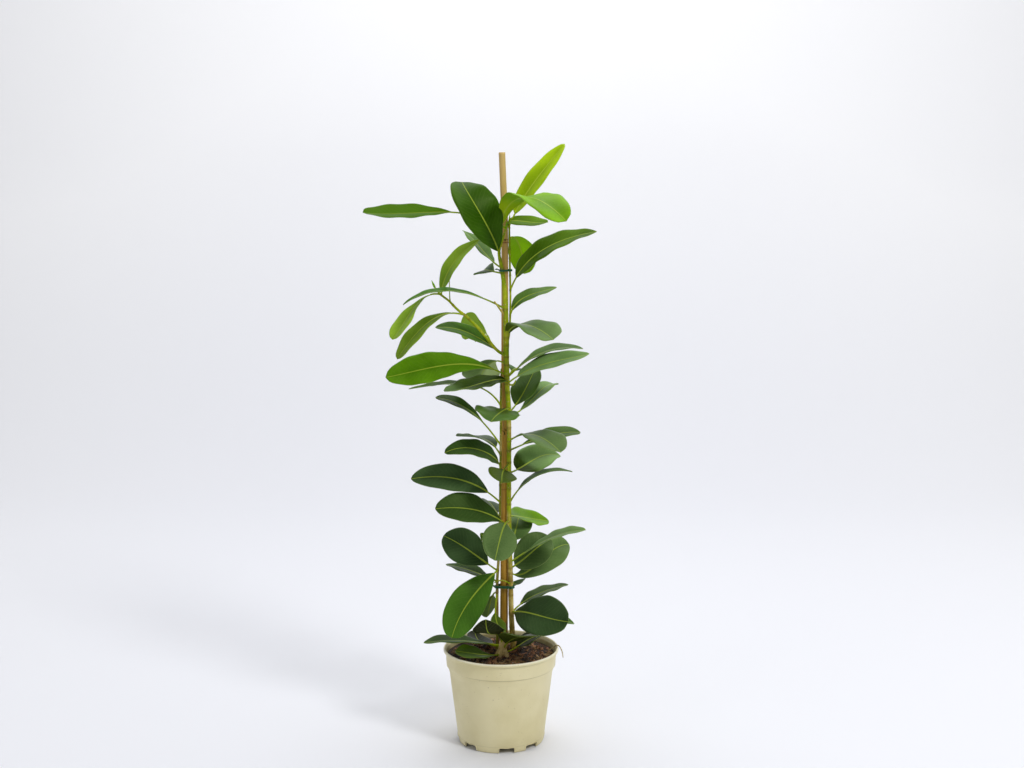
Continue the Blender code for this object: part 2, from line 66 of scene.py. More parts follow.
# A material made of shader nodes, with short ways to add them.
class Finish:
    def __init__(self, name):
        self.material = bpy.data.materials.new(name)
        self.material.use_nodes = True
        self.tree = self.material.node_tree
        self.shader = self.tree.nodes["Principled BSDF"]
        self.output = self.tree.nodes["Material Output"]

    def add(self, kind, **settings):
        node = self.tree.nodes.new(kind)
        for name, value in settings.items():
            setattr(node, name, value)
        return node

    def feed(self, socket, value):
        if isinstance(value, bpy.types.NodeSocket):
            self.tree.links.new(value, socket)
        else:
            socket.default_value = value

    def set(self, name, value):
        self.feed(self.shader.inputs[name], value)

    def math(self, operation, first, second=0.0, third=0.0, clamp=False):
        node = self.add("ShaderNodeMath", operation=operation, use_clamp=clamp)
        self.feed(node.inputs[0], first)
        self.feed(node.inputs[1], second)
        self.feed(node.inputs[2], third)
        return node.outputs[0]

    def remap(self, value, low, high, toLow=0.0, toHigh=1.0, smooth=True):
        node = self.add("ShaderNodeMapRange", interpolation_type="SMOOTHSTEP" if smooth else "LINEAR")
        for socket, number in zip(node.inputs, (value, low, high, toLow, toHigh)):
            self.feed(socket, number)
        return node.outputs[0]

    def mix(self, factor, first, second, blend="MIX"):
        node = self.add("ShaderNodeMix", data_type="RGBA", blend_type=blend)
        colours = [s for s in node.inputs if s.type == "RGBA"]
        self.feed(node.inputs[0], factor)
        for socket, value in zip(colours, (first, second)):
            self.feed(socket, (*toLinear(value), 1) if isinstance(value, tuple) else value)
        return [s for s in node.outputs if s.type == "RGBA"][0]

    def ramp(self, factor, stops):
        node = self.add("ShaderNodeValToRGB")
        elements = node.color_ramp.elements
        while len(elements) < len(stops):
            elements.new(0.5)
        for element, (place, colour) in zip(elements, stops):
            element.position = place
            element.color = (*toLinear(colour), 1)
        self.feed(node.inputs[0], factor)
        return node.outputs[0]

    def objectPlace(self, stretch=(1, 1, 1)):
        place = self.add("ShaderNodeTexCoord").outputs["Object"]
        if stretch == (1, 1, 1):
            return place
        node = self.add("ShaderNodeMapping")
        node.inputs["Scale"].default_value = stretch
        self.feed(node.inputs["Vector"], place)
        return node.outputs[0]

    def noise(self, place, scale, detail=3.0, roughness=0.5, distortion=0.0):
        node = self.add("ShaderNodeTexNoise")
        self.feed(node.inputs["Vector"], place)
        node.inputs["Scale"].default_value = scale
        node.inputs["Detail"].default_value = detail
        node.inputs["Roughness"].default_value = roughness
        node.inputs["Distortion"].default_value = distortion
        return node.outputs[0]

    def cells(self, place, scale, feature="F1", randomness=1.0):
        node = self.add("ShaderNodeTexVoronoi", feature=feature)
        self.feed(node.inputs["Vector"], place)
        node.inputs["Scale"].default_value = scale
        node.inputs["Randomness"].default_value = randomness
        return node.outputs

    def stored(self, name):
        node = self.add("ShaderNodeAttribute", attribute_name=name)
        return node.outputs

    def parts(self, vector):
        node = self.add("ShaderNodeSeparateXYZ")
        self.feed(node.inputs[0], vector)
        return node.outputs

    def bump(self, height, strength, distance, under=None):
        node = self.add("ShaderNodeBump")
        node.inputs["Strength"].default_value = strength
        node.inputs["Distance"].default_value = distance
        self.feed(node.inputs["Height"], height)
        if under is not None:
            self.feed(node.inputs["Normal"], under)
        return node.outputs[0]


# Gathers the points, faces and stored numbers of one piece, slot 0 leaf and slot 1 bark.
class Growth:
    def __init__(self):
        self.points, self.faces, self.slots, self.count = [], [], [], 0
        self.spot, self.marks, self.tint = [], [], []

    def put(self, points, faces, spot, marks, tint, slot):
        points = np.asarray(points, float)
        self.points.append(points)
        self.faces += [tuple(int(i) + self.count for i in face) for face in faces]
        self.slots += [slot] * len(faces)
        self.count += len(points)
        for store, values in ((self.spot, spot), (self.marks, marks), (self.tint, tint)):
            store.append(np.broadcast_to(np.asarray(values, float), (len(points), 3)))

    def build(self, name, materials):
        mesh = bpy.data.meshes.new(name)
        mesh.from_pydata((np.concatenate(self.points) * millimetre).tolist(), [], self.faces)
        mesh.update()
        for label, store in (("spot", self.spot), ("marks", self.marks), ("tint", self.tint)):
            layer = mesh.attributes.new(label, "FLOAT_VECTOR", "POINT")
            layer.data.foreach_set("vector", np.concatenate(store).astype(np.float32).ravel())
        for material in materials:
            mesh.materials.append(material)
        mesh.polygons.foreach_set("material_index", self.slots)
        mesh.shade_smooth()
        made = bpy.data.objects.new(name, mesh)
        bpy.context.scene.collection.objects.link(made)
        return made


def finishPiece(piece, node):
    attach(piece, "root")
    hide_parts(node)


# A curve through every point of a path of (x, y, z, radius), sampled at about the spacing.
def smoothPath(path, spacing):
    knots = np.array(path, float)
    ends = np.vstack([2 * knots[0] - knots[1], knots, 2 * knots[-1] - knots[-2]])
    found = []
    for i in range(1, len(ends) - 2):
        before, first, second, after = ends[i - 1], ends[i], ends[i + 1], ends[i + 2]
        count = max(2, int(np.linalg.norm((second - first)[:3]) / spacing) + 1)
        for t in np.linspace(0, 1, count, endpoint=False):
            found.append(
                0.5 * (2 * first + (second - before) * t + (2 * before - 5 * first + 4 * second - after) * t**2
                       + (3 * first - before - 3 * second + after) * t**3)
            )
    found.append(knots[-1])
    return np.array(found)


# Points, faces and (angle, distance, ring mark) of a round rod along a path.
def tube(path, sides, spacing=3.0, rings=(), ringSize=0.0, flutes=0.0, closed=False, roundEnd=True):
    line = np.array(path, float) if spacing is None else smoothPath(path, spacing)
    travelled = np.concatenate([[0], np.cumsum(np.linalg.norm(np.diff(line[:, :3], axis=0), axis=1))])
    ringMark = np.zeros(len(line))
    for ring in rings:
        ringMark = np.maximum(ringMark, np.exp(-(((line[:, 2] - ring) / 1.3) ** 2)))
    radius = line[:, 3] + ringSize * ringMark
    if roundEnd and not closed:
        whole, cap = line, line[-1, 3]
        keep = travelled < travelled[-1] - cap * 0.8
        line, radius, ringMark = line[keep], radius[keep], ringMark[keep]
        for back in (0.75, 0.35, 0.0):
            place = [np.interp(travelled[-1] - cap * back, travelled, whole[:, i]) for i in range(4)]
            line = np.vstack([line, place])
            radius = np.append(radius, cap * math.sqrt(max(0.02, 1 - (1 - back) ** 2)))
            ringMark = np.append(ringMark, 0)
        travelled = np.concatenate([[0], np.cumsum(np.linalg.norm(np.diff(line[:, :3], axis=0), axis=1))])
    if closed:
        tangent = np.roll(line[:, :3], -1, axis=0) - np.roll(line[:, :3], 1, axis=0)
    else:
        tangent = np.gradient(line[:, :3], axis=0)
    tangent /= np.linalg.norm(tangent, axis=1)[:, None]
    start = np.array([0.0, -1.0, 0.05]) if abs(tangent[0][1]) < 0.9 else np.array([1.0, 0.0, 0.05])
    across = []
    for step in tangent:
        start = start - step * (start @ step)
        start /= np.linalg.norm(start)
        across.append(start)
    across = np.array(across)
    other = np.cross(tangent, across)
    turn = np.arange(sides) * 2 * math.pi / sides
    wave = 1 + flutes * np.sin(turn * 5 + 1)[None, :]
    reachOut = radius[:, None] * wave
    points = (line[:, None, :3] + across[:, None, :] * (reachOut * np.cos(turn))[..., None]
              + other[:, None, :] * (reachOut * np.sin(turn))[..., None]).reshape(-1, 3)
    faces = []
    rows = len(line)
    for j in range(rows if closed else rows - 1):
        low, high = j * sides, (j + 1) % rows * sides
        for k in range(sides):
            right = (k + 1) % sides
            faces.append((low + k, low + right, high + right, high + k))
    if not closed:
        faces.append(tuple(range(sides - 1, -1, -1)))
        faces.append(tuple((rows - 1) * sides + k for k in range(sides)))
    spot = np.stack([np.tile(turn, rows), np.repeat(travelled, sides), np.repeat(ringMark, sides)], axis=1)
    return points, faces, spot


# Camera: at the photograph's angle, a little above the pot and level with the crown.
cameraPlan = {"place": (16.3, -2146, 829), "lookDown": 7.85, "lens": 52.73}
cameraData = bpy.data.cameras.new("camera")
camera = bpy.data.objects.new("camera", cameraData)
camera.location = [value * millimetre for value in cameraPlan["place"]]
camera.rotation_euler = (math.radians(90 - cameraPlan["lookDown"]), 0, 0)
cameraData.lens = cameraPlan["lens"]
cameraData.sensor_width = 36
cameraData.clip_start = 0.05
bpy.context.scene.collection.objects.link(camera)
bpy.context.scene.camera = camera
print("camera placed")

# Studio: a pale floor that sweeps up into a wall, a bright surround and soft lamps.
studioPlan = {
    "floor": (231, 232, 237), "wall": (254, 254, 255), "surround": (250, 251, 255), "surroundStrength": 0.34,
    "keyPower": 44, "keyPlace": (1.7, -1.9, 2.5), "keySize": 0.8,
    "fillPower": 5, "fillPlace": (-1.9, -1.7, 1.3), "fillSize": 1.4,
    "topPower": 40, "topPlace": (0.15, 0.5, 3.0), "topSize": 2.6,
    "wallPower": 15, "wallPlace": (0.0, 0.9, 2.9), "wallSize": 2.4,
}
view = bpy.context.scene.view_settings
view.view_transform = "Standard"
view.look = "None"
world = bpy.data.worlds.new("studio")
bpy.context.scene.world = world
world.use_nodes = True
worldShader = world.node_tree.nodes["Background"]
worldShader.inputs["Color"].default_value = (*toLinear(studioPlan["surround"]), 1)
worldShader.inputs["Strength"].default_value = studioPlan["surroundStrength"]

sweep = [(-3.2, 0.0), (1.6, 0.0)]
sweep += [(1.6 + 0.9 * math.sin(a), 0.9 - 0.9 * math.cos(a)) for a in np.linspace(0.1, math.pi / 2, 16)]
sweep += [(2.5, 4.5)]
paperPoints = [(x, y, z) for y, z in sweep for x in (-4.5, 4.5)]
paperFaces = [(2 * i, 2 * i + 1, 2 * i + 3, 2 * i + 2) for i in range(len(sweep) - 1)]
paperMesh = bpy.data.meshes.new("studio_floor")
paperMesh.from_pydata(paperPoints, [], paperFaces)
paperMesh.shade_smooth()
paper = bpy.data.objects.new("studio_floor", paperMesh)
bpy.context.scene.collection.objects.link(paper)
paperLook = Finish("studio_paper")
# Painted shade: the floor's colour is darker than the wall's and darkest in its middle, round the plant; it turns to
# the wall's colour up the sweep and out to the sides.
paperPlace = paperLook.parts(paperLook.objectPlace())
sideways = paperLook.remap(paperLook.math("ABSOLUTE", paperPlace[0]), 0.4, 1.8, 0.0, 0.5)
upward = paperLook.remap(paperPlace[2], 0.0, 1.3)
paperLook.set("Base Color", paperLook.mix(paperLook.math("ADD", upward, sideways, clamp=True), studioPlan["floor"], studioPlan["wall"]))
paperLook.set("Roughness", 0.9)
paperMesh.materials.append(paperLook.material)


def lamp(name, place, power, size, target):
    data = bpy.data.lights.new(name, "AREA")
    data.shape = "DISK"
    data.size = size
    data.energy = power
    made = bpy.data.objects.new(name, data)
    made.location = place
    way = np.array(target) - np.array(place)
    made.rotation_euler = (math.acos(-way[2] / np.linalg.norm(way)), 0, math.atan2(way[0], -way[1]) + math.pi)
    bpy.context.scene.collection.objects.link(made)


lamp("key", studioPlan["keyPlace"], studioPlan["keyPower"], studioPlan["keySize"], (0, 0, 0.45))
lamp("fill", studioPlan["fillPlace"], studioPlan["fillPower"], studioPlan["fillSize"], (0, 0, 0.5))
lamp("top", studioPlan["topPlace"], studioPlan["topPower"], studioPlan["topSize"], (0, 0, 0.4))
lamp("wall", studioPlan["wallPlace"], studioPlan["wallPower"], studioPlan["wallSize"], (0, 2.4, 0.8))
print("studio lit")

# Pot: cream plastic, turned from a fine profile, with notches between its feet and a bead round its lip.
potPlan = {
    "steps": 176, "notchPairs": 4, "firstPair": 26.6, "pairHalf": 18.6, "notchFoot": 24, "notchTop": 21,
    "notchHeight": 8.2, "drainCircle": 44,
    "colour": (229, 219, 175), "shade": (220, 209, 161), "specks": (118, 92, 54), "mouldLine": 9.6,
}
# Where dirt and small marks sit on the pot, as (x, y, z, radius).
potMarks = [
    (2.2, -84, 139.4, 1.1), (25, -80.6, 139.2, 0.9), (-0.6, -81.2, 127.2, 0.45), (-0.6, -81, 124.1, 0.45),
    (-17.7, -73.6, 103.3, 0.8), (20.6, -73.2, 108.7, 0.6), (-38.5, -53.5, 32, 0.9), (40, -62, 88, 0.5),
]
potProfile = [
    (0, 2.2), (18, 2.2), (24, 9.2), (61, 9.2), (62.1, 9.7), (62.5, 10.8), (66.4, 42), (70.3, 74), (74.1, 104.6),
    (74.9, 108.6), (76.4, 112.6), (78.2, 114.6), (78.7, 116.6), (79.2, 126), (79.7, 134.2), (80.2, 135.8),
    (81.0, 137.2), (81.5, 138.7), (82.0, 139.8), (82.8, 140.6), (83.6, 140.8), (84.3, 140.5), (84.8, 139.8),
    (85, 138.8), (84.95, 137.4), (84.6, 136.5), (83.9, 135.8), (82.9, 135.4), (82.0, 135.1), (81.6, 134.5),
    (81.4, 132), (81.0, 124), (80.6, 116.6), (80.35, 115.3), (79.8, 114.7), (78.9, 114.4), (78.35, 114.0),
    (78.0, 113.2), (77.6, 111), (76.8, 107.2), (76.3, 105.6), (75.8, 103), (73.8, 86), (70.9, 62), (67.8, 38),
    (65.2, 16), (64.0, 6), (63.6, 3.4), (63.3, 2.0), (62.7, 1.0), (61.8, 0.3), (60.8, 0), (59.4, 0), (59.2, 7),
    (26.5, 7), (20.5, 0), (0, 0),
]


def turnedMesh(name, profile, steps):
    mesh = bpy.data.meshes.new(name)
    turn = np.arange(steps) * 2 * math.pi / steps
    points, rows = [], []
    for radius, height in profile:
        if radius == 0:
            rows.append([len(points)] * steps)
            points.append((0, 0, height * millimetre))
        else:
            rows.append(list(range(len(points), len(points) + steps)))
            points += [(radius * math.cos(a) * millimetre, radius * math.sin(a) * millimetre, height * millimetre)
                       for a in turn]
    faces = []
    for low, high in zip(rows, rows[1:]):
        for k in range(steps):
            right = (k + 1) % steps
            corners = [low[k], low[right], high[right], high[k]]
            faces.append(tuple(dict.fromkeys(corners)))
    mesh.from_pydata(points, [], faces)
    mesh.update()
    made = bpy.data.objects.new(name, mesh)
    bpy.context.scene.collection.objects.link(made)
    return made


def cutAway(piece, cutters):
    group = bpy.data.collections.new(piece.name + "_cutters")
    bpy.context.scene.collection.children.link(group)
    for cutter in cutters:
        bpy.context.scene.collection.objects.unlink(cutter)
        group.objects.link(cutter)
    step = piece.modifiers.new("cut", "BOOLEAN")
    step.operation = "DIFFERENCE"
    step.operand_type = "COLLECTION"
    step.collection = group
    step.solver = "MANIFOLD"
    graph = bpy.context.evaluated_depsgraph_get()
    mesh = bpy.data.meshes.new_from_object(piece.evaluated_get(graph))
    piece.modifiers.clear()
    piece.data = mesh
    for cutter in cutters:
        bpy.data.objects.remove(cutter)
    bpy.data.collections.remove(group)


def plainObject(name, points, faces):
    mesh = bpy.data.meshes.new(name)
    mesh.from_pydata([[c * millimetre for c in p] for p in points], [], faces)
    mesh.update()
    made = bpy.data.objects.new(name, mesh)
    bpy.context.scene.collection.objects.link(made)
    return made


pot = turnedMesh("nursery_pot", potProfile, potPlan["steps"])
notchCutters = []
notchRims = []
notchAngles = [potPlan["firstPair"] + pair * 360 / potPlan["notchPairs"] + half
               for pair in range(potPlan["notchPairs"]) for half in (-potPlan["pairHalf"], potPlan["pairHalf"])]
for i, degrees in enumerate(notchAngles):
    angle = math.radians(degrees - 90)
    outward = np.array([math.cos(angle), math.sin(angle), 0])
    along = np.array([-math.sin(angle), math.cos(angle), 0])
    foot, top, tall = potPlan["notchFoot"] / 2, potPlan["notchTop"] / 2, potPlan["notchHeight"]
    corners = [(-foot - 1, -2), (foot + 1, -2), (top, tall), (-top, tall)]
    boxPoints = [outward * depth + along * x + np.array([0, 0, z]) for depth in (55, 70) for x, z in corners]
    boxFaces = [(3, 2, 1, 0), (4, 5, 6, 7), (1, 5, 4, 0), (2, 6, 5, 1), (3, 7, 6, 2), (0, 4, 7, 3)]
    notchCutters.append(plainObject(f"notch_{i}", boxPoints, boxFaces))
    drainPath = [(*outward[:2] * potPlan["drainCircle"], z, 4.5) for z in (3, 12)]
    drainPoints, drainFaces, _ = tube(drainPath, 20, None, roundEnd=False)
    notchCutters.append(plainObject(f"drain_{i}", drainPoints, drainFaces))
    rim = []
    for x, z in ((-foot + 0.4, 0.9), (-top - 0.4, tall + 0.25), (0, tall + 0.25), (top + 0.4, tall + 0.25), (foot - 0.4, 0.9)):
        wall = np.interp(z, [0, 1, 2, 3.4, 16], [61.2, 62.7, 63.3, 63.6, 65.2])
        turnBy = angle + math.asin(x / wall)
        rim.append((wall * math.cos(turnBy), wall * math.sin(turnBy), z, 0.75))
    notchRims.append(rim)
cutAway(pot, notchCutters)

potLook = Finish("cream_plastic")
place = potLook.objectPlace()
cloud = potLook.noise(place, 14, 4, 0.55)
fine = potLook.noise(place, 260, 2, 0.6)
colour = potLook.mix(potLook.remap(cloud, 0.35, 0.7), potPlan["colour"], potPlan["shade"])
speckCells = potLook.cells(place, 95)
speckDots = potLook.math("LESS_THAN", speckCells["Distance"], 0.09)
speckPick = potLook.math("GREATER_THAN", potLook.parts(speckCells["Color"])[0], 0.955)
smallCells = potLook.cells(place, 420)
smallDots = potLook.math("LESS_THAN", smallCells["Distance"], 0.22)
smallPick = potLook.math("GREATER_THAN", potLook.parts(smallCells["Color"])[1], 0.965)
dirt = potLook.math("MAXIMUM", potLook.math("MULTIPLY", speckDots, speckPick), potLook.math("MULTIPLY", smallDots, smallPick))
colour = potLook.mix(potLook.math("MULTIPLY", dirt, 0.34), colour, potPlan["specks"])
spotX, spotY, lift = potLook.parts(place)[0:3]
fromAxis = potLook.math("SQRT", potLook.math("ADD", potLook.math("MULTIPLY", spotX, spotX), potLook.math("MULTIPLY", spotY, spotY)))
# Inside the wall's middle line, which leans outwards, the plastic is stained by the soil.
pastMiddle = potLook.math("SUBTRACT", fromAxis, potLook.math("MULTIPLY_ADD", lift, 0.0575, 0.07295))
innerWall = potLook.math("MULTIPLY", potLook.remap(pastMiddle, 0.0002, -0.0002), potLook.remap(lift, 0.118, 0.121))
innerWall = potLook.math("MULTIPLY", innerWall, potLook.remap(lift, 0.1385, 0.134, 0.1, 1.0))
colour = potLook.mix(potLook.math("MULTIPLY", innerWall, potLook.remap(cloud, 0.3, 0.7, 0.35, 0.7)), colour, (136, 122, 66))
# Painted shadow: a darker line on the body just under the collar's overhang.
groove = potLook.math("MULTIPLY", potLook.remap(lift, 0.1134, 0.1142), potLook.remap(lift, 0.1153, 0.1147))
colour = potLook.mix(potLook.math("MULTIPLY", groove, 0.5), colour, (150, 136, 88))
# Painted highlight: a pale line round the upper outer edge of the lip's bead.
paintedLipHighlight = potLook.math("MULTIPLY", potLook.remap(lift, 0.1384, 0.1392), potLook.remap(fromAxis, 0.0832, 0.0838))
colour = potLook.mix(potLook.math("MULTIPLY", paintedLipHighlight, 0.6), colour, (250, 246, 226))
# Painted shadow: a darker band just under the lip's bead.
paintedUnderLipShadow = potLook.math("MULTIPLY", potLook.remap(lift, 0.1343, 0.135), potLook.remap(lift, 0.1364, 0.1358))
colour = potLook.mix(potLook.math("MULTIPLY", paintedUnderLipShadow, 0.35), colour, (160, 146, 96))
for x, y, z, size in potMarks:
    gap = potLook.add("ShaderNodeVectorMath", operation="DISTANCE")
    potLook.feed(gap.inputs[0], place)
    gap.inputs[1].default_value = (x * millimetre, y * millimetre, z * millimetre)
    spotted = potLook.remap(gap.outputs["Value"], size * millimetre, size * 0.45 * millimetre, 0.0, 0.7)
    colour = potLook.mix(spotted, colour, potPlan["specks"])
lowBand = potLook.math("MULTIPLY", potLook.remap(lift, 0.03, 0.0), potLook.remap(cloud, 0.4, 0.75, 0.05, 0.3))
colour = potLook.mix(lowBand, colour, (178, 162, 118))
fromLine = potLook.math("ABSOLUTE", potLook.math("SUBTRACT", lift, potPlan["mouldLine"] * millimetre))
colour = potLook.mix(potLook.remap(fromLine, 0.0006, 0.0001, 0.0, 0.22), colour, (150, 142, 100))
streaks = potLook.noise(potLook.objectPlace((30, 30, 2.2)), 3.0, 4, 0.6)
colour = potLook.mix(potLook.remap(streaks, 0.62, 0.8, 0, 0.1), colour, (150, 138, 100))
potLook.set("Base Color", colour)
potLook.set("Roughness", potLook.remap(cloud, 0.3, 0.7, 0.42, 0.55))
potLook.shader.inputs["Specular IOR Level"].default_value = 0.4
potLook.set("Normal", potLook.bump(fine, 0.12, 0.0004, potLook.bump(cloud, 0.25, 0.0012)))
pot.data.materials.clear()
pot.data.materials.append(potLook.material)
pot.data.shade_smooth()
pot.data.set_sharp_from_angle(angle=math.radians(38))
finishPiece(pot, "pot")

rims = Growth()
for rim in notchRims:
    points, faces, spot = tube(rim, 10, 1.5)
    rims.put(points, faces, spot, (0, 0, 0), (0, 0, 0), 0)
rimPiece = rims.build("pot_foot_rims", [potLook.material])
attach(rimPiece, "root")
print("pot made")

# Stems, cane and ties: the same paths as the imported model, each point (x, y, z, radius).
cane = [
    (4, 7, 20, 6.0), (4, 7, 130, 6.0), (4.6, 7, 200, 5.8), (5, 7, 270, 5.7), (5.4, 7, 390, 5.5),
    (5.8, 7, 461, 5.4), (5.8, 7, 465, 5.9), (5.8, 7, 469, 5.3), (6, 7, 610, 5.1), (6, 7, 732, 4.8),
    (6, 7, 736, 5.3), (5.9, 7, 740, 4.9), (5.4, 7, 780, 4.8), (3.4, 7, 830, 4.7), (2, 7, 864, 4.7),
]
tallStem = [
    (18, 11, 82, 4.2), (18, 11, 138, 4.2), (16.8, 4.4, 158, 4.1), (15, 0, 200, 3.8), (14, 0, 250, 3.6),
    (12, -1, 333, 3.4), (12, -2, 407, 3.3), (12, -2.6, 459, 3.3), (11.2, -3, 503, 3.5), (9.4, -3.4, 532, 3.6),
    (8, -4, 575, 4.1), (8, -4.4, 600, 4.1), (6.4, -4.4, 660, 3.6), (2.6, -4.4, 695, 2.9), (-2, -4.4, 722, 2.1),
    (3, -5.4, 742, 1.6), (8, -6, 757, 1.2),
]
shoot = [
    (8, -4, 584, 1.6), (11, -2, 598, 1.5), (13, 1.5, 613, 1.5), (14, 4.4, 654, 1.5), (13.4, 5, 697, 1.5),
    (12.6, 4, 740, 1.5), (12.4, 3, 764, 1.3),
]
branch = [
    (7, -5, 574, 2.3), (4, -6, 577, 2.3), (-7, -8, 585, 2.2), (-30, -10, 613, 2.1), (-48, -10, 631, 2.0),
    (-62, -8, 642, 1.8), (-74, -6, 654, 1.6), (-87, -2, 664, 1.5), (-97, 1, 677, 1.0),
]
leftStem = [
    (-5.4, 7, 82, 2.3), (-5.4, 7, 134, 2.3), (-5.4, 5, 160, 2.2), (-5.6, 1, 226, 2.2), (-5, 0, 250, 2.1),
    (-2.6, -1, 288, 2.0), (-1.2, -1.2, 348, 1.8), (-0.6, -1.4, 407, 1.7), (0, -1.4, 466, 1.6), (0, -1.4, 510, 1.5),
    (0.8, -1.8, 556, 1.1),
]
shortStem = [
    (2, -12, 92, 5.4), (2, -12.4, 133.2, 5.6), (2, -12.4, 134.8, 8.4), (2.2, -12.6, 139, 6.6), (2.6, -12.4, 146, 5.7),
    (3, -12, 156, 5.0),
]
oldStalk = [(14, 0, 236, 1.4), (12, -5.4, 239, 1.1), (5, -8, 243, 1.1), (-3, -8.4, 243.4, 1.1), (-9.5, -7, 240, 1.0)]
stub = [(7, -4.4, 630, 2.0), (0.6, -8, 640, 1.5), (-9, -12, 654, 1.2)]
stipule = [(-72, -6.4, 652, 1.2), (-72.6, -7, 660, 0.8), (-73, -8, 684, 0.6)]
sideBud = [(9.6, -3.4, 533, 1.6), (18, -6, 533, 1.3), (22, -7, 540, 0.7)]
twig = [
    (70, 5, 133.4, 0.7), (77, 3, 138.2, 0.8), (82, 1.4, 142.4, 0.8), (86, 0.4, 141.6, 0.8), (89, 0, 137, 0.8),
    (91, 0, 131, 0.7), (92, 0, 123.6, 0.5),
]


def row(height, reach, rise, fall, width, roll, swing=0, twist=0, peak=0.57, stalk=18, arch=0.38, tip=0.6, base=0.8,
        green="leaf", light=1.0, near=None, paintedLitSide=None):
    return {
        "height": height, "reach": reach, "rise": rise, "fall": fall, "width": width, "roll": roll, "swing": swing,
        "twist": twist, "peak": peak, "stalk": stalk, "arch": arch, "tip": tip, "base": base, "green": green,
        "light": light, "near": near, "paintedLitSide": paintedLitSide,
    }


# Leaves, grouped by what carries them. reach is from stem to tip, rise and fall the slopes of the midrib at its ends.
# light scales a leaf's green, partly for its own tone and partly as painted light and shade where the leaf stands lit
# or shaded.
# Leaves of the tall stem, from the top down.
tallLeaves = [
    row(757, (-206, 27, 22), 30, 5, 44, 30, swing=5, twist=-10, peak=0.56, stalk=80, tip=0.43, green="grass"),
    row(722, (92, -100, 48), 95, -40, 56, 0, swing=-10, twist=95, peak=0.63, stalk=30, tip=0.42, base=0.79, arch=0.6, green="fresh", light=0.92, near=("lime", 0.9, 0.3)),
    row(712, (-54, -1, 110), 50, 20, 68, -55, swing=80, twist=-5, peak=0.52, stalk=16, tip=0.42, base=0.86, green="deep"),
    row(701, (-57, 75, 50), 15, 20, 38, 15, twist=5, peak=0.54, tip=0.67, base=0.82, green="dusk", light=1.1),
    row(693, (-28, 84, -4), 5, -15, 34, -30, swing=25, peak=0.56, base=0.82),
    row(642, (-144, -36, 9), 30, -35, 24, -10, twist=15, peak=0.54, stalk=30, tip=0.63, base=0.79, green="bright"),
    row(601, (65, -85, 6), 75, -10, 54, 10, swing=25, twist=35, stalk=4, tip=0.42, base=0.6, green="grey", near=("dark", 3.5, 0.2)),
    row(573, (-102, 5, 42), 35, -5, 34, -25, peak=0.52, tip=0.54, base=0.82, light=1.2),
    # This leaf's one half is painted pale silver: painted light where light falls on it.
    row(561, (-42, 61, -35), 38, -30, 58, 20, swing=30, twist=5, peak=0.67, stalk=12, tip=0.47, base=0.83, green="grey", paintedLitSide=("silver", 1.4, 1)),
    row(546, (-173, -22, 0), 30, -10, 48, -60, peak=0.66, stalk=14, tip=0.55, base=0.76, green="grass", light=0.88),
    row(542, (111, 34, 39), 45, -10, 42, 5, twist=10, peak=0.59, tip=0.64, base=0.84, green="dusk"),
    row(534, (117, -22, 46), 40, 15, 44, 25, peak=0.44, tip=0.62, base=0.71, green="grey", light=1.45),
    row(541, (15, 48, 8), 40, -20, 30, 15, swing=-12, base=0.82),
    row(521, (-88, -76, 13), 112, 8, 48, -10, twist=30, peak=0.63, stalk=8, tip=0.67, base=0.64, green="grey", light=0.72, near=("moss", 0.42, 0.78)),
    row(487, (70, 75, 35), 5, -20, 38, 0, swing=-10, twist=5, peak=0.62, tip=0.63, base=0.81, green="grey", light=1.4),
    row(491, (40, 63, 57), 30, 30, 48, -5, swing=-10, twist=-20, peak=0.48, tip=0.62, base=0.79, green="dusk", light=0.75),
    row(499, (-24, -102, -4), 0, -10, 66, -10, twist=-5, peak=0.58, tip=0.56, base=0.83, green="dusk", light=0.9),
    row(450, (72, -90, 0), 35, -20, 56, 5, swing=10, twist=10, peak=0.6, stalk=12, tip=0.58, base=0.86, green="grey", light=0.75),
    row(436, (105, 34, 21), 20, -5, 38, 15, twist=10, peak=0.6, tip=0.56, base=0.81, green="dusk", light=0.8),
    row(403, (77, 66, 12), 0, -25, 52, 30, swing=10, peak=0.42, tip=0.75, base=0.64, green="grey", light=1.45, near=("moss", 0.45, 0.26)),
    row(418, (-10, -71, -15), -15, -25, 44, -20, swing=-10, twist=-5, peak=0.58, stalk=28, tip=0.43, base=0.81, green="olive", light=0.62),
    row(356, (93, 22, 44), 65, -15, 36, -5, peak=0.53, stalk=22, tip=0.61, base=0.79),
    row(337, (60, 84, -25), -5, -10, 44, 30, swing=25, twist=10, peak=0.52, tip=0.53, base=0.79, green="fresh", light=0.75),
    row(322, (-106, -44, 37), 40, -5, 50, -50, swing=15, twist=-5, peak=0.58, stalk=14, tip=0.59, base=0.84, green="shade", light=0.82),
    row(331, (-20, -70, -41), 15, -45, 52, -25, peak=0.55, tip=0.42, base=0.81, green="grey", light=0.75),
    row(294, (15, 99, 25), 10, -5, 46, 15, swing=-5, twist=-50, peak=0.52, tip=0.64, base=0.72, green="grey"),
    row(269, (107, -69, 65), 35, 10, 32, 20, peak=0.54, stalk=26, tip=0.61, base=0.81, green="grey", light=1.2),
    row(260, (61, 17, 39), 30, 0, 52, 55, swing=-30, peak=0.51, stalk=8, tip=0.63, base=0.6, green="grey", light=0.62),
    row(253, (88, 47, 31), -34, -10, 56, 42, twist=-30, peak=0.68, stalk=5, tip=0.64, base=0.6, green="grey", light=0.9),
    row(241, (18, 46, -14), -30, 5, 30, -35, stalk=8, base=0.6),
    row(192, (85, 37, 33), 40, 10, 36, 0, swing=5, twist=-5, peak=0.48, tip=0.53, base=0.77, green="grey", light=0.58),
    row(193, (81, -88, 12), 20, 5, 64, 50, swing=-10, twist=20, peak=0.56, stalk=8, tip=0.42, green="slate"),
    row(190, (94, 28, -23), 10, -25, 36, 15, base=0.82),
]
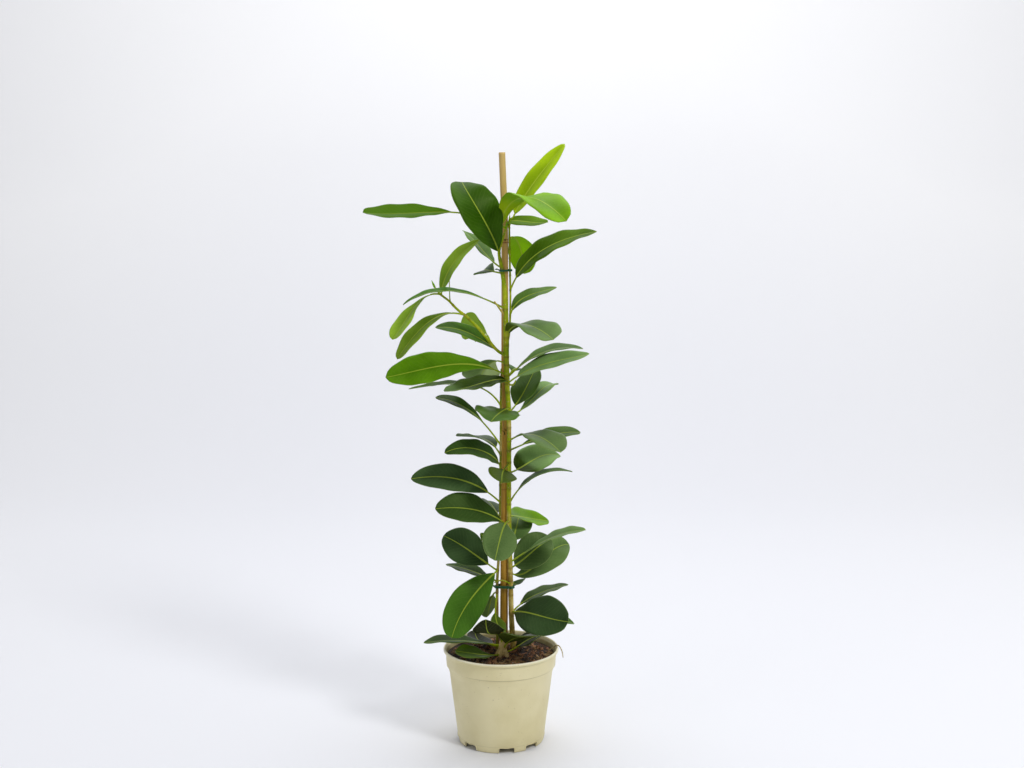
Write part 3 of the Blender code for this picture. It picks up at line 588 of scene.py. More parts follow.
# Leaves of the thin shoot on its right.
shootLeaves = [
    row(761, (79, 18, 115), 65, 50, 40, 30, peak=0.46, tip=0.5, base=0.63, green="lime", light=0.95),
    row(757, (54, -40, 10), 125, 15, 26, 30, twist=-10, peak=0.5, stalk=3, tip=0.45, base=0.55, green="spring", light=0.52),
    row(742, (22, 45, -53), 25, -85, 42, -15, twist=-15, peak=0.59, stalk=8, tip=0.42, base=0.78, green="spring", light=1.22),
    row(668, (122, -25, 85), 70, 10, 46, 35, twist=-15, peak=0.42, stalk=20, tip=0.64, base=0.73, green="moss"),
    row(632, (68, 42, 38), 70, 15, 30, 15, twist=-10, peak=0.49, stalk=8, tip=0.62, base=0.78, green="dusk"),
]
# Leaves of the side branch, height being the distance along it.
branchLeaves = [
    row(125, (56, -26, 79), 80, 30, 32, 55, twist=-20, peak=0.44, stalk=4, tip=0.71, base=0.79, green="sunlit", light=1.1),
    row(125, (-66, -53, -59), 15, -45, 38, 0, twist=-5, peak=0.71, stalk=14, tip=0.5, base=0.79, green="sunlit"),
    row(80, (-94, -36, -59), 20, -55, 34, -20, peak=0.62, stalk=14, tip=0.5, base=0.79, green="sunlit", light=0.75),
    row(26, (-38, 65, -3), 65, -100, 46, 85, twist=-20, peak=0.7, stalk=8, tip=0.51, base=0.88, green="sunlit", light=1.25),
]
# Leaves of the thin stem left of the cane.
leftLeaves = [
    row(502, (-134, 15, 22), 60, -10, 28, -5, swing=5, twist=5, peak=0.56, stalk=30, tip=0.65, base=0.82, green="moss"),
    row(444, (-95, 18, 67), 55, 5, 34, -10, twist=-10, peak=0.63, stalk=36, tip=0.57, light=0.8),
    row(429, (-67, 88, 13), 35, -5, 42, 10, swing=-10, twist=5, peak=0.49, tip=0.62, light=0.6),
    row(409, (-78, -64, 35), 40, -30, 34, -45, swing=50, twist=20, peak=0.46, tip=0.54, base=0.78, green="shade"),
    row(359, (-128, -26, 40), 45, -10, 42, -60, swing=10, peak=0.51, stalk=24, tip=0.57, base=0.78, green="slate", light=1.3),
    row(336, (-19, 71, 10), 10, 0, 36, 20, peak=0.56, base=0.82, light=0.5),
    row(288, (-27, -4, 26), 60, 60, 16, -60, stalk=6, base=0.82),
    row(256, (-82, 57, 39), 25, 10, 54, -55, swing=5, peak=0.53, tip=0.55, base=0.74, green="slate", light=1.3),
    row(240, (-78, 61, 10), 10, 0, 32, -5, twist=10, peak=0.5, tip=0.62, light=0.7),
    row(257, (-66, -51, -87), -15, -75, 54, -45, swing=20, twist=5, peak=0.58, stalk=8, tip=0.43, base=0.7, green="bright", light=0.78),
    row(224, (13, -33, -51), -80, -20, 28, -20, swing=-55, peak=0.58, stalk=30, tip=0.54, base=0.85, green="olive", light=0.95),
    row(223, (-16, 28, -46), -10, -60, 30, -10, stalk=14, base=0.82, green="grey", light=1.2),
]
# Leaves of the short cut-back stem.
shortLeaves = [
    row(146, (-115, -18, 10), 10, -5, 42, 0, swing=-5, peak=0.58, tip=0.57, base=0.77, light=0.6),
    row(134, (-68, -34, 15), 5, 5, 40, -15, swing=35, twist=-5, peak=0.69, stalk=14, tip=0.52, base=0.83, green="moss", light=0.55),
    row(146, (-23, -93, 68), 70, 80, 46, 10, swing=-10, peak=0.68, tip=0.67, base=0.84, green="dark", light=0.15),
    row(145, (-43, 64, 4), -5, 30, 40, 10, swing=25, twist=5, peak=0.55, base=0.82, green="dark", light=0.1),
    row(138, (50, -66, 43), 60, 15, 62, -10, swing=-5, twist=20, peak=0.46, tip=0.69, base=0.91, green="dark", light=2.0),
    row(136, (58, 16, 20), -10, 0, 36, 10, swing=15, twist=-10, peak=0.5, stalk=24, tip=0.65, base=0.78, green="dark", light=0.5),
]

# Greens as the eye sees them, with light and shade partly painted in (sunlit, dusk, shade, slate and dark), from the
# darkest old leaf in shade to the young crown.
leafGreens = {
    "lime": (160, 194, 12),
    "spring": (128, 182, 4),
    "fresh": (118, 168, 22),
    "sunlit": (130, 166, 48),
    "grass": (90, 142, 2),
    "bright": (68, 115, 32),
    "deep": (48, 86, 0),
    "moss": (72, 107, 4),
    "leaf": (60, 98, 26),
    "shade": (50, 80, 32),
    "grey": (102, 133, 80),
    "dusk": (78, 114, 46),
    "olive": (88, 113, 34),
    "dark": (34, 46, 4),
    "silver": (160, 184, 134),
    "slate": (46, 70, 42),
}
leafPlan = {
    "alongSteps": 40, "halfSteps": 7, "thickness": 0.7, "fold": 12, "wave": 0.8, "stalkRadius": 1.3,
    "rib": (166, 184, 62), "margin": (158, 176, 96), "stalk": (172, 190, 30), "veinGap": 7.2, "gloss": 0.38,
}


def slopeVector(slope, heading):
    level = math.cos(math.radians(slope))
    return np.array([level * math.cos(heading), level * math.sin(heading), math.sin(math.radians(slope))])


def stemPoint(stem, height):
    path = np.array(stem, float)
    return np.array([np.interp(height, path[:, 2], path[:, i]) for i in range(3)])


def branchPoint(path, along):
    line = np.array(path, float)[1:]
    travelled = np.concatenate([[0.0], np.cumsum(np.linalg.norm(np.diff(line[:, :3], axis=0), axis=1))])
    return np.array([np.interp(along, travelled, line[:, i]) for i in range(3)])


# Middle, side and normal of a leaf at the asked shares of its length, and that length.
def leafFrames(foot, leaf, steps):
    reach = np.array(leaf["reach"], float)
    heading = math.atan2(reach[1], reach[0])
    swing = math.radians(leaf["swing"])
    handle = leaf["arch"] * np.linalg.norm(reach)
    end = foot + reach
    first = foot + slopeVector(leaf["rise"], heading + swing) * handle
    second = end - slopeVector(leaf["fall"], heading - swing) * handle
    t = np.linspace(0, 1, 241)[:, None]
    curve = (1 - t) ** 3 * foot + 3 * (1 - t) ** 2 * t * first + 3 * (1 - t) * t**2 * second + t**3 * end
    tangent = np.gradient(curve, axis=0)
    tangent /= np.linalg.norm(tangent, axis=1)[:, None]
    level = np.array([math.sin(heading), -math.cos(heading), 0.0])
    side = level - (tangent @ level)[:, None] * tangent
    side /= np.linalg.norm(side, axis=1)[:, None]
    up = np.cross(side, tangent)
    travelled = np.concatenate([[0.0], np.cumsum(np.linalg.norm(np.diff(curve, axis=0), axis=1))])
    share = travelled / travelled[-1]
    roll = np.radians(leaf["roll"] + leaf["twist"] * (share - 0.6))[:, None]
    across = side * np.cos(roll) - up * np.sin(roll)
    normal = up * np.cos(roll) + side * np.sin(roll)
    found = []
    for values in (curve, across, normal):
        found.append(np.stack([np.interp(steps, share, values[:, i]) for i in range(3)], axis=1))
    middle, across, normal = found
    across /= np.linalg.norm(across, axis=1)[:, None]
    normal -= (normal * across).sum(axis=1)[:, None] * across
    normal /= np.linalg.norm(normal, axis=1)[:, None]
    return middle, across, normal, travelled[-1]


def halfWidth(leaf, v):
    power = math.log(0.5) / math.log(leaf["peak"])
    swell = np.clip(np.sin(np.pi * np.clip(v, 0, 1) ** power), 0, 1)
    egg = swell ** np.where(v < leaf["peak"], leaf["base"], leaf["tip"]) * leaf["width"] / 2
    point = np.where(v > 0.9, 1.9 - 1.5 * (v - 0.9) / 0.1, 0)
    return np.maximum(egg, point)


# One leaf: a thin folded blade, its midrib sunk above and raised below, and a round stalk.
def addLeaf(shell, foot, leaf, seed):
    dice = np.random.default_rng(seed)
    length = leafFrames(foot, leaf, np.linspace(0, 1, 3))[3]
    bare = leaf["stalk"] / length
    v = np.linspace(0, 1, leafPlan["alongSteps"]) ** 0.92
    v = v / v[-1]
    middle, across, normal, _ = leafFrames(foot, leaf, bare + v * (1 - bare))
    half = np.maximum(halfWidth(leaf, v), 0.5)
    count = leafPlan["halfSteps"]
    column = np.concatenate([-np.linspace(1, 0, count + 1)[:-1] ** 0.8, [0], np.linspace(0, 1, count + 1)[1:] ** 0.8])
    fold = math.radians(leafPlan["fold"])
    away = np.abs(column)[None, :]
    wide = half[:, None] * column[None, :]
    bladeLength = length * (1 - bare)
    wave = leafPlan["wave"] * (leaf["width"] / 44) * dice.uniform(0.6, 1.3)
    waveGap = dice.uniform(26, 40)
    phase = dice.uniform(0, 6.28, 2)
    alongMm = v[:, None] * bladeLength
    sideSign = np.sign(column)[None, :]
    ripple = wave * away**2.2 * np.sin(alongMm / waveGap * 6.28 + np.where(sideSign > 0, phase[0], phase[1]))
    ripple = ripple * np.minimum(1, half[:, None] / 12)
    lift = np.abs(wide) * math.sin(fold) + ripple
    lift -= 0.05 * half[:, None] * np.clip(away - 0.86, 0, 1) / 0.14
    ribHalf = (1.1 - 0.8 * v)[:, None]
    groove = np.exp(-((wide / ribHalf) ** 2))
    thick = leafPlan["thickness"] * (1 - 0.35 * away**4) / 2
    base = middle[:, None, :] + across[:, None, :] * (wide * math.cos(fold))[..., None]
    top = base + normal[:, None, :] * (lift + thick - 0.22 * groove)[..., None]
    low = base + normal[:, None, :] * (lift - thick - 0.75 * (1 - 0.6 * v)[:, None] * groove)[..., None]
    rows, columns = wide.shape
    points = np.concatenate([top.reshape(-1, 3), low.reshape(-1, 3)])
    grid = np.arange(rows * columns).reshape(rows, columns)
    under = grid + rows * columns
    faces = []
    quads = np.stack([grid[:-1, :-1], grid[:-1, 1:], grid[1:, 1:], grid[1:, :-1]], axis=-1).reshape(-1, 4)
    faces += quads.tolist()
    quads = np.stack([under[:-1, :-1], under[1:, :-1], under[1:, 1:], under[:-1, 1:]], axis=-1).reshape(-1, 4)
    faces += quads.tolist()
    for j in range(rows - 1):
        faces.append((grid[j, 0], grid[j + 1, 0], under[j + 1, 0], under[j, 0]))
        faces.append((grid[j, -1], under[j, -1], under[j + 1, -1], grid[j + 1, -1]))
    for k in range(columns - 1):
        faces.append((grid[0, k], under[0, k], under[0, k + 1], grid[0, k + 1]))
        faces.append((grid[-1, k], grid[-1, k + 1], under[-1, k + 1], under[-1, k]))
    spot = np.stack([wide, np.broadcast_to(alongMm, wide.shape), np.broadcast_to(half[:, None], wide.shape)], axis=-1)
    spot = np.concatenate([spot.reshape(-1, 3)] * 2)
    chance = dice.uniform()
    marks = np.stack([np.repeat([0.0, 1.0], rows * columns), np.full(2 * rows * columns, chance),
                      np.tile(np.repeat(v, columns), 2)], axis=1)
    # The row's light scales the green: partly the leaf's own tone, partly painted light and shade.
    green = toLinear(leafGreens[leaf["green"]])
    shift = dice.uniform(0.94, 1.06)
    tint = np.array([channel * leaf["light"] * shift for channel in green])
    # The blade's own green, with another one on its folded near part where the row names it, or on one lit side as
    # painted light, a pale green standing in for light falling on that half.
    blade = np.broadcast_to(tint, (rows, columns, 3)).copy()
    if leaf["near"]:
        name, light, reachEnd = leaf["near"]
        share = np.clip((v - reachEnd + 0.06) / 0.12, 0, 1)[:, None, None]
        blade = np.array(toLinear(leafGreens[name])) * light * (1 - share) + blade * share
    if leaf["paintedLitSide"]:
        name, light, way = leaf["paintedLitSide"]
        share = np.clip(0.5 + way * wide / 1.5, 0, 1)[..., None]
        blade = np.array(toLinear(leafGreens[name])) * light * share + blade * (1 - share)
    shell.put(points, faces, spot, marks, np.tile(blade.reshape(-1, 3), (2, 1)), 0)
    stalkShare = np.linspace(0, bare + 5 / length, 9)
    line, _, _, _ = leafFrames(foot, leaf, stalkShare)
    size = leafPlan["stalkRadius"] * np.linspace(1.12, 0.86, 9)
    size[0] *= 1.15
    stalkPoints, stalkFaces, stalkSpot = tube(np.column_stack([line, size]), 10, None, roundEnd=False)
    stalkTint = [0.3 * channel + 0.7 * other for channel, other in zip(tint, toLinear(leafPlan["stalk"]))]
    shell.put(stalkPoints, stalkFaces, stalkSpot, (2, chance, 0), stalkTint, 0)


leafLook = Finish("fig_leaf")
spotX, spotY, spotZ = leafLook.parts(leafLook.stored("spot")["Vector"])[0:3]
faceSide, chance, along = leafLook.parts(leafLook.stored("marks")["Vector"])[0:3]
tint = leafLook.stored("tint")["Color"]
place = leafLook.objectPlace()
isBlade = leafLook.math("LESS_THAN", faceSide, 1.5)
isUnder = leafLook.math("MULTIPLY", leafLook.math("GREATER_THAN", faceSide, 0.5), isBlade)
away = leafLook.math("ABSOLUTE", spotX)
wobble = leafLook.noise(place, 70, 2)
veinPlace = leafLook.math("SUBTRACT", spotY, leafLook.math("MULTIPLY", away, 0.95))
veinPlace = leafLook.math("ADD", leafLook.math("DIVIDE", veinPlace, leafPlan["veinGap"]), leafLook.math("MULTIPLY", wobble, 1.7))
veinPlace = leafLook.math("ADD", veinPlace, leafLook.math("MULTIPLY", leafLook.math("GREATER_THAN", spotX, 0.0), 0.4))
veinWave = leafLook.math("ABSOLUTE", leafLook.math("SUBTRACT", leafLook.math("FRACT", veinPlace), 0.5))
veinLine = leafLook.remap(veinWave, 0.10, 0.0)
fineWave = leafLook.math("ABSOLUTE", leafLook.math("SUBTRACT", leafLook.math("FRACT", leafLook.math("MULTIPLY", veinPlace, 4.0)), 0.5))
fineLine = leafLook.remap(fineWave, 0.22, 0.0)
veinFade = leafLook.math("MULTIPLY", isBlade, leafLook.remap(leafLook.math("SUBTRACT", spotZ, away), 1.0, 5.0))
ribWide = leafLook.remap(along, 0.0, 1.0, 1.6, 0.4, smooth=False)
ribLine = leafLook.math("MULTIPLY", leafLook.remap(leafLook.math("DIVIDE", away, ribWide), 1.15, 0.55), isBlade)
rimLine = leafLook.math("MULTIPLY", leafLook.remap(leafLook.math("SUBTRACT", spotZ, away), 0.95, 0.15), isBlade)
broad = leafLook.noise(place, 16, 2, 0.5)
fine = leafLook.noise(place, 420, 3, 0.6)
# Broad random tone, plus painted shade: the blade darker along the midrib's fold and towards the stalk, lighter towards
# its edges and tip.
deepTone = leafLook.mix(1.0, tint, (208, 214, 190), "MULTIPLY")
lightTone = leafLook.mix(0.02, leafLook.mix(1.0, tint, (284, 278, 262), "MULTIPLY"), (196, 214, 128))
outward = leafLook.math("DIVIDE", away, leafLook.math("MAXIMUM", spotZ, 1.0))
shade = leafLook.math("ADD", leafLook.remap(broad, 0.25, 0.75, -0.05, 0.7), leafLook.math("MULTIPLY", outward, 0.4))
shade = leafLook.math("ADD", shade, leafLook.math("MULTIPLY", leafLook.math("SUBTRACT", along, 0.5), 0.3))
colour = leafLook.mix(leafLook.remap(shade, 0.0, 1.0), deepTone, lightTone)
mottle = leafLook.mix(leafLook.remap(fine, 0.35, 0.7, 0.0, 0.22), colour, leafLook.mix(1.0, colour, (176, 190, 150), "MULTIPLY"))
paleGreen = leafLook.mix(0.4, tint, (160, 180, 100))
underGreen = leafLook.mix(0.02, leafLook.mix(1.0, tint, (255, 250, 225), "MULTIPLY"), (160, 176, 100))
colour = leafLook.mix(isUnder, mottle, underGreen)
veinShow = leafLook.math("MULTIPLY", veinFade, leafLook.math("ADD", leafLook.math("MULTIPLY", veinLine, 0.15), leafLook.math("MULTIPLY", fineLine, 0.04)))
veinShow = leafLook.math("MULTIPLY", veinShow, leafLook.math("ADD", leafLook.math("MULTIPLY", isUnder, 0.9), 1.0))
colour = leafLook.mix(veinShow, colour, paleGreen)
colour = leafLook.mix(leafLook.math("MULTIPLY", rimLine, 0.62), colour, leafLook.mix(0.6, tint, leafPlan["margin"]))
colour = leafLook.mix(leafLook.math("MULTIPLY", ribLine, 0.9), colour, leafLook.mix(0.78, tint, leafPlan["rib"]))
leafLook.set("Base Color", colour)
gloss = leafLook.remap(broad, 0.3, 0.7, leafPlan["gloss"] - 0.05, leafPlan["gloss"] + 0.09)
leafLook.shader.inputs["Specular IOR Level"].default_value = 0.1
leafLook.shader.inputs["Specular Tint"].default_value = (0.8, 0.95, 0.45, 1)
leafLook.set("Roughness", leafLook.math("ADD", gloss, leafLook.math("MULTIPLY", isUnder, 0.2)))
height = leafLook.math("ADD", leafLook.math("MULTIPLY", veinLine, -0.6), leafLook.math("MULTIPLY", fineLine, -0.12))
height = leafLook.math("MULTIPLY", leafLook.math("MULTIPLY", height, veinFade), leafLook.math("SUBTRACT", 1.0, leafLook.math("MULTIPLY", isUnder, 1.8)))
leafLook.set("Normal", leafLook.bump(fine, 0.1, 0.0003, leafLook.bump(height, 0.14, 0.0005, leafLook.bump(broad, 0.3, 0.003))))

barkLook = Finish("fig_bark")
age, darkShare, brownShare = barkLook.parts(barkLook.stored("marks")["Vector"])[0:3]
turnMark, travelMark, ringMark = barkLook.parts(barkLook.stored("spot")["Vector"])[0:3]
place = barkLook.objectPlace()
streak = barkLook.noise(barkLook.objectPlace((1, 1, 0.12)), 700, 4, 0.6)
patch = barkLook.noise(place, 60, 3, 0.6)
green = barkLook.ramp(patch, [(0.3, (124, 152, 2)), (0.5, (154, 172, 8)), (0.7, (188, 192, 40))])
wood = barkLook.ramp(patch, [(0.3, (158, 132, 52)), (0.5, (196, 172, 86)), (0.7, (224, 206, 132))])
greenShare = barkLook.math("ADD", age, barkLook.remap(barkLook.noise(barkLook.objectPlace((1, 1, 0.3)), 90, 2), 0.3, 0.7, -0.24, 0.3))
colour = barkLook.mix(barkLook.remap(greenShare, 0.3, 0.7), green, wood)
colour = barkLook.mix(barkLook.math("MULTIPLY", darkShare, 0.8), colour, (62, 60, 10))
colour = barkLook.mix(brownShare, colour, barkLook.ramp(patch, [(0.3, (180, 150, 94)), (0.5, (208, 182, 124)), (0.7, (230, 210, 160))]))
colour = barkLook.mix(barkLook.remap(streak, 0.45, 0.75, 0.0, 0.45), colour, (92, 74, 32))
poreCells = barkLook.cells(barkLook.objectPlace((1, 1, 0.55)), 420)
pores = barkLook.math("MULTIPLY", barkLook.remap(poreCells["Distance"], 0.34, 0.2), barkLook.math("GREATER_THAN", barkLook.parts(poreCells["Color"])[0], 0.6))
colour = barkLook.mix(barkLook.math("MULTIPLY", pores, 0.5), colour, (204, 190, 142))
colour = barkLook.mix(barkLook.math("MULTIPLY", ringMark, 0.55), colour, (104, 76, 34))
barkLook.set("Base Color", colour)
barkLook.shader.inputs["Specular IOR Level"].default_value = 0.16
barkLook.set("Roughness", barkLook.remap(patch, 0.3, 0.7, 0.45, 0.65))
barkLook.set("Normal", barkLook.bump(barkLook.math("ADD", streak, pores), 0.4, 0.0005))


# A grown rod. ages are (height, 0 for green to 1 for woody).
def addStem(shell, path, rings, ages, sides=16, ringSize=0.35, flutes=0.0, darker=0.0, browner=0.0):
    points, faces, spot = tube(path, sides, 2.5, rings, ringSize, flutes)
    age = np.interp(points[:, 2], [a[0] for a in ages], [a[1] for a in ages])
    marks = np.stack([age, np.full(len(age), darker), np.full(len(age), browner)], axis=1)
    shell.put(points, faces, spot, marks, (0, 0, 0), 1)


# A pointed bud or the sheath of one.
def addBud(shell, foot, tip, radius, greenName, light=1.0):
    foot, tip = np.array(foot, float), np.array(tip, float)
    line = []
    for t, size in ((0, 0.7), (0.2, 1.0), (0.45, 0.95), (0.7, 0.6), (0.9, 0.28), (1, 0.1)):
        spotAt = foot + (tip - foot) * t
        line.append((*spotAt, radius * size))
    points, faces, spot = tube(line, 12, 2.0, roundEnd=False)
    tint = [channel * light for channel in toLinear(leafGreens[greenName])]
    shell.put(points, faces, spot, (2, 0.5, 0), tint, 0)


stemAges = {
    "tall": [(0, 1.0), (150, 0.95), (250, 0.85), (290, 0.62), (340, 0.46), (450, 0.36), (560, 0.2), (620, 0.1), (680, 0.02), (800, 0.0)],
    "shoot": [(580, 0.25), (640, 0.12), (800, 0.0)],
    "branch": [(570, 0.15), (700, 0.1)],
    "left": [(0, 0.7), (300, 0.55), (450, 0.35), (600, 0.25)],
    "short": [(0, 1.0), (300, 1.0)],
}

tallShell = Growth()
seed = 0
for leaf in tallLeaves:
    seed += 1
    addLeaf(tallShell, stemPoint(tallStem, leaf["height"]), leaf, seed)
for leaf in shootLeaves:
    seed += 1
    addLeaf(tallShell, stemPoint(shoot, leaf["height"]), leaf, seed)
for leaf in branchLeaves:
    seed += 1
    addLeaf(tallShell, branchPoint(branch, leaf["height"]), leaf, seed)
addStem(tallShell, tallStem, [leaf["height"] for leaf in tallLeaves] + [170, 220, 310, 380, 470, 590], stemAges["tall"], 20)
addStem(tallShell, shoot, [leaf["height"] for leaf in shootLeaves] + [690, 714, 727], stemAges["shoot"], 14, 0.3)
branchRings = [branchPoint(branch, leaf["height"])[2] for leaf in branchLeaves] + [596, 628, 648]
addStem(tallShell, branch, branchRings, stemAges["branch"], 14, 0.3)
for path, ages in ((oldStalk, [(0, 0.2), (900, 0.2)]), (stub, [(0, 0.45), (900, 0.45)]), (stipule, [(0, 0.4), (900, 0.4)]),
                   (sideBud, [(0, 0.3), (900, 0.3)])):
    addStem(tallShell, path, [], ages, 10, 0)
addBud(tallShell, (7.6, -5.9, 755), (9.2, -6.4, 768), 1.5, "fresh")
addBud(tallShell, (12.4, 3.1, 762), (13.2, 1.6, 777), 1.6, "lime")
addBud(tallShell, (-94, 0, 672), (-99, 2, 683), 1.6, "fresh")
tallPiece = tallShell.build("tall_fig_stem", [leafLook.material, barkLook.material])
finishPiece(tallPiece, "tall_stem")
print("tall stem made")

leftShell = Growth()
for leaf in leftLeaves:
    seed += 1
    addLeaf(leftShell, stemPoint(leftStem, leaf["height"]), leaf, seed)
addStem(leftShell, leftStem, [leaf["height"] for leaf in leftLeaves] + [180, 310, 385, 470, 530, 545], stemAges["left"], 14, 0.3, darker=0.6)
leftPiece = leftShell.build("left_fig_stem", [leafLook.material, barkLook.material])
finishPiece(leftPiece, "left_stem")

# The stump's second cut prong, then the roots that spread from its foot.
stumpGrowth = [
    [(4.6, -13, 143, 3.6), (7.2, -13.6, 149, 3.2), (9, -14, 154, 2.9)],
    [(4, -15, 140, 4.2), (7.4, -17.5, 136, 3.8), (9.4, -19.4, 132, 3.0), (10, -20, 128, 2.4)],
    [(1, -15.5, 139, 4.0), (-0.6, -18.5, 135.4, 3.4), (-1.8, -20.5, 131, 2.6), (-2, -21, 127, 2.0)],
    [(-1, -12.5, 139, 3.8), (-4.6, -13.6, 135.4, 3.2), (-6.4, -14.4, 131, 2.4), (-7, -15, 127, 2.0)],
]

shortShell = Growth()
for leaf in shortLeaves:
    seed += 1
    addLeaf(shortShell, stemPoint(shortStem, leaf["height"]), leaf, seed)
addStem(shortShell, shortStem, [], stemAges["short"], 24, 0.4, 0.06, browner=0.8)
for path in stumpGrowth:
    addStem(shortShell, path, [], stemAges["short"], 12, 0, 0.05, browner=0.85)
shortPiece = shortShell.build("short_fig_stem", [leafLook.material, barkLook.material])
finishPiece(shortPiece, "short_stem")
print("leafy stems made")

# Bamboo cane: tan wood with long fibres, two nodes with papery scars.
canePlan = {"sides": 28, "nodes": (378, 736)}
caneShell = Growth()
canePath = [list(point) for point in cane]
points, faces, spot = tube(canePath, canePlan["sides"], 3.0, canePlan["nodes"], 0.25, 0.0, roundEnd=False)
caneShell.put(points, faces, spot, (0, 0, 0), (0, 0, 0), 0)
caneLook = Finish("bamboo_skin")
place = caneLook.objectPlace()
height = caneLook.parts(place)[2]
turnMark, travelMark, ringMark = caneLook.parts(caneLook.stored("spot")["Vector"])[0:3]
fibre = caneLook.noise(caneLook.objectPlace((1, 1, 0.018)), 900, 5, 0.65)
band = caneLook.noise(caneLook.objectPlace((1, 1, 0.12)), 150, 3, 0.55)
tone = caneLook.ramp(caneLook.remap(height, 0.1, 0.87, smooth=False), [
    (0.0, (158, 118, 30)), (0.3, (204, 158, 62)), (0.62, (206, 160, 74)), (0.8, (212, 172, 100)), (1.0, (218, 188, 120))])
colour = caneLook.mix(caneLook.remap(fibre, 0.35, 0.7, 0.0, 0.5), tone, caneLook.mix(1.0, tone, (196, 180, 146), "MULTIPLY"))
colour = caneLook.mix(caneLook.remap(band, 0.55, 0.75, 0.0, 0.5), colour, (206, 178, 122))
colour = caneLook.mix(caneLook.remap(ringMark, 0.35, 0.9, 0.0, 0.7), colour, (150, 92, 52))
caneLook.set("Base Color", colour)
caneLook.shader.inputs["Specular IOR Level"].default_value = 0.2
caneLook.set("Roughness", caneLook.remap(fibre, 0.3, 0.7, 0.35, 0.55))
caneLook.set("Normal", caneLook.bump(fibre, 0.35, 0.0005))
canePiece = caneShell.build("bamboo_stake", [caneLook.material])
finishPiece(canePiece, "bamboo_cane")
print("cane made")

# Ties: twisted wire in green plastic, round the stems and the cane.
tiePlan = {"gap": 0.35, "steps": 64, "colour": (24, 74, 46)}


def beltRound(rods, height, wire):
    found = []
    for rod in rods:
        x, y, _ = stemPoint(rod, height)
        radius = np.interp(height, [p[2] for p in rod], [p[3] for p in rod])
        found.append((x, y, radius + tiePlan["gap"] + wire))
    belt = []
    for i in range(tiePlan["steps"]):
        angle = 2 * math.pi * i / tiePlan["steps"]
        way = (math.cos(angle), math.sin(angle))
        x, y, radius = max(found, key=lambda c: c[0] * way[0] + c[1] * way[1] + c[2])
        belt.append((x + radius * way[0], y + radius * way[1], height, wire))
    return belt


tieLook = Finish("tie_plastic")
coat = tieLook.noise(tieLook.objectPlace(), 500, 3)
tieLook.set("Base Color", tieLook.mix(coat, tiePlan["colour"], (44, 104, 66)))
tieLook.set("Roughness", tieLook.remap(coat, 0.3, 0.7, 0.3, 0.5))
# Each tie: the rods inside, its height, the wire's radius, how far its turns lie above and below, and its tail.
for name, node, rods, tieHeight, wire, turns, tail in (
    ("upper_wire_tie", "top_tie", (tallStem, shoot, cane), 697, 0.85, (-0.7, 0.7),
     [(-0.5, -9.2, 697.4), (-3, -10.5, 698.6), (-5.5, -10.2, 699.4), (-7.5, -9, 698.8)]),
    ("middle_wire_tie", "middle_tie", (leftStem, cane), 497, 0.6, (0,),
     [(0, -4.6, 497), (-2.5, -6.5, 495.5), (-4.5, -6.8, 492.5)]),
    ("low_wire_tie", "lower_tie", (tallStem, leftStem, cane), 232, 1.0, (-1.05, 1.05),
     [(-7, -3.5, 232.5), (-10, -6, 234), (-12, -6.4, 237)]),
):
    tieShell = Growth()
    for shift in turns:
        points, faces, spot = tube(beltRound(rods, tieHeight + shift, wire), 10, None, closed=True)
        tieShell.put(points, faces, spot, (0, 0, 0), (0, 0, 0), 0)
    for turned in (0, math.pi):
        line = smoothPath([(*point, wire * 0.7) for point in tail], 0.8)
        for i, point in enumerate(line):
            around = turned + i * 0.55
            point[0] += wire * 0.55 * math.cos(around)
            point[2] += wire * 0.55 * math.sin(around)
        points, faces, spot = tube(line, 8, None)
        tieShell.put(points, faces, spot, (0, 0, 0), (0, 0, 0), 0)
    tiePiece = tieShell.build(name, [tieLook.material])
    finishPiece(tiePiece, node)

# Dry twig over the rim.
twigShell = Growth()
points, faces, spot = tube(twig, 12, 1.5)
twigShell.put(points, faces, spot, (0.8, 0, 0), (0, 0, 0), 0)
twigLook = Finish("dry_bark")
twigNoise = twigLook.noise(twigLook.objectPlace(), 500, 4)
twigLook.set("Base Color", twigLook.ramp(twigNoise, [(0.3, (120, 98, 52)), (0.5, (168, 148, 92)), (0.7, (198, 184, 132))]))
twigLook.set("Roughness", 0.8)
twigLook.set("Normal", twigLook.bump(twigNoise, 0.5, 0.0004))
twigPiece = twigShell.build("rim_twig", [twigLook.material])
finishPiece(twigPiece, "dry_twig")
print("ties and twig made")

# Soil: dark damp mix whose surface rolls and crumbles, strewn with bark strips, chips, crumbs and pale bits.
soilPlan = {
    "rings": 52, "steps": 132, "roll": 0.7, "lumps": 0.9, "seed": 11,
    "strips": 24000, "stripSize": 1.25, "chips": 12000, "chipSize": 1.55, "crumbs": 105000, "crumbSize": 1.0,
    "paleBits": 1500, "paleSize": 1.0, "stripReach": 66, "chipReach": 73, "crumbReach": 77.5, "paleReach": 76, "dark": (34, 22, 11), "brown": (72, 46, 24),
    "mound": (13, 18, 5.5, 16),  # its middle, height and spread
}
soilOutline = [(0, 12), (58, 12), (60.5, 13), (75.4, 106), (76.2, 112), (77.9, 116), (79.0, 128.4), (78.8, 130.2)]


def soilSurface(x, y):
    rolled = np.sin(x / 13 + 1) * np.cos(y / 11) + 0.6 * np.sin(y / 19 - x / 23)
    lumps = np.sin(x / 3.1 + y / 4.7) * np.sin(y / 2.7 - x / 5.3) + 0.6 * np.sin(x / 1.7 + 2) * np.sin(y / 1.9)
    left, back, high, spread = soilPlan["mound"]
    mound = high * np.exp(-((x - left) ** 2 + (y - back) ** 2) / (2 * spread * spread))
    mound = mound + 1.8 * np.exp(-(((x - 2) / 13) ** 2 + ((y + 13) / 9) ** 2))
    slope = np.interp(np.hypot(x, y), [0, 40, 70, 79], [0.6, 0.4, -0.2, -0.6])
    calm = np.clip((79 - np.hypot(x, y)) / 6, 0.0, 1.0)
    return 130.3 + soilPlan["roll"] * rolled + soilPlan["lumps"] * 0.5 * lumps * calm + mound + slope


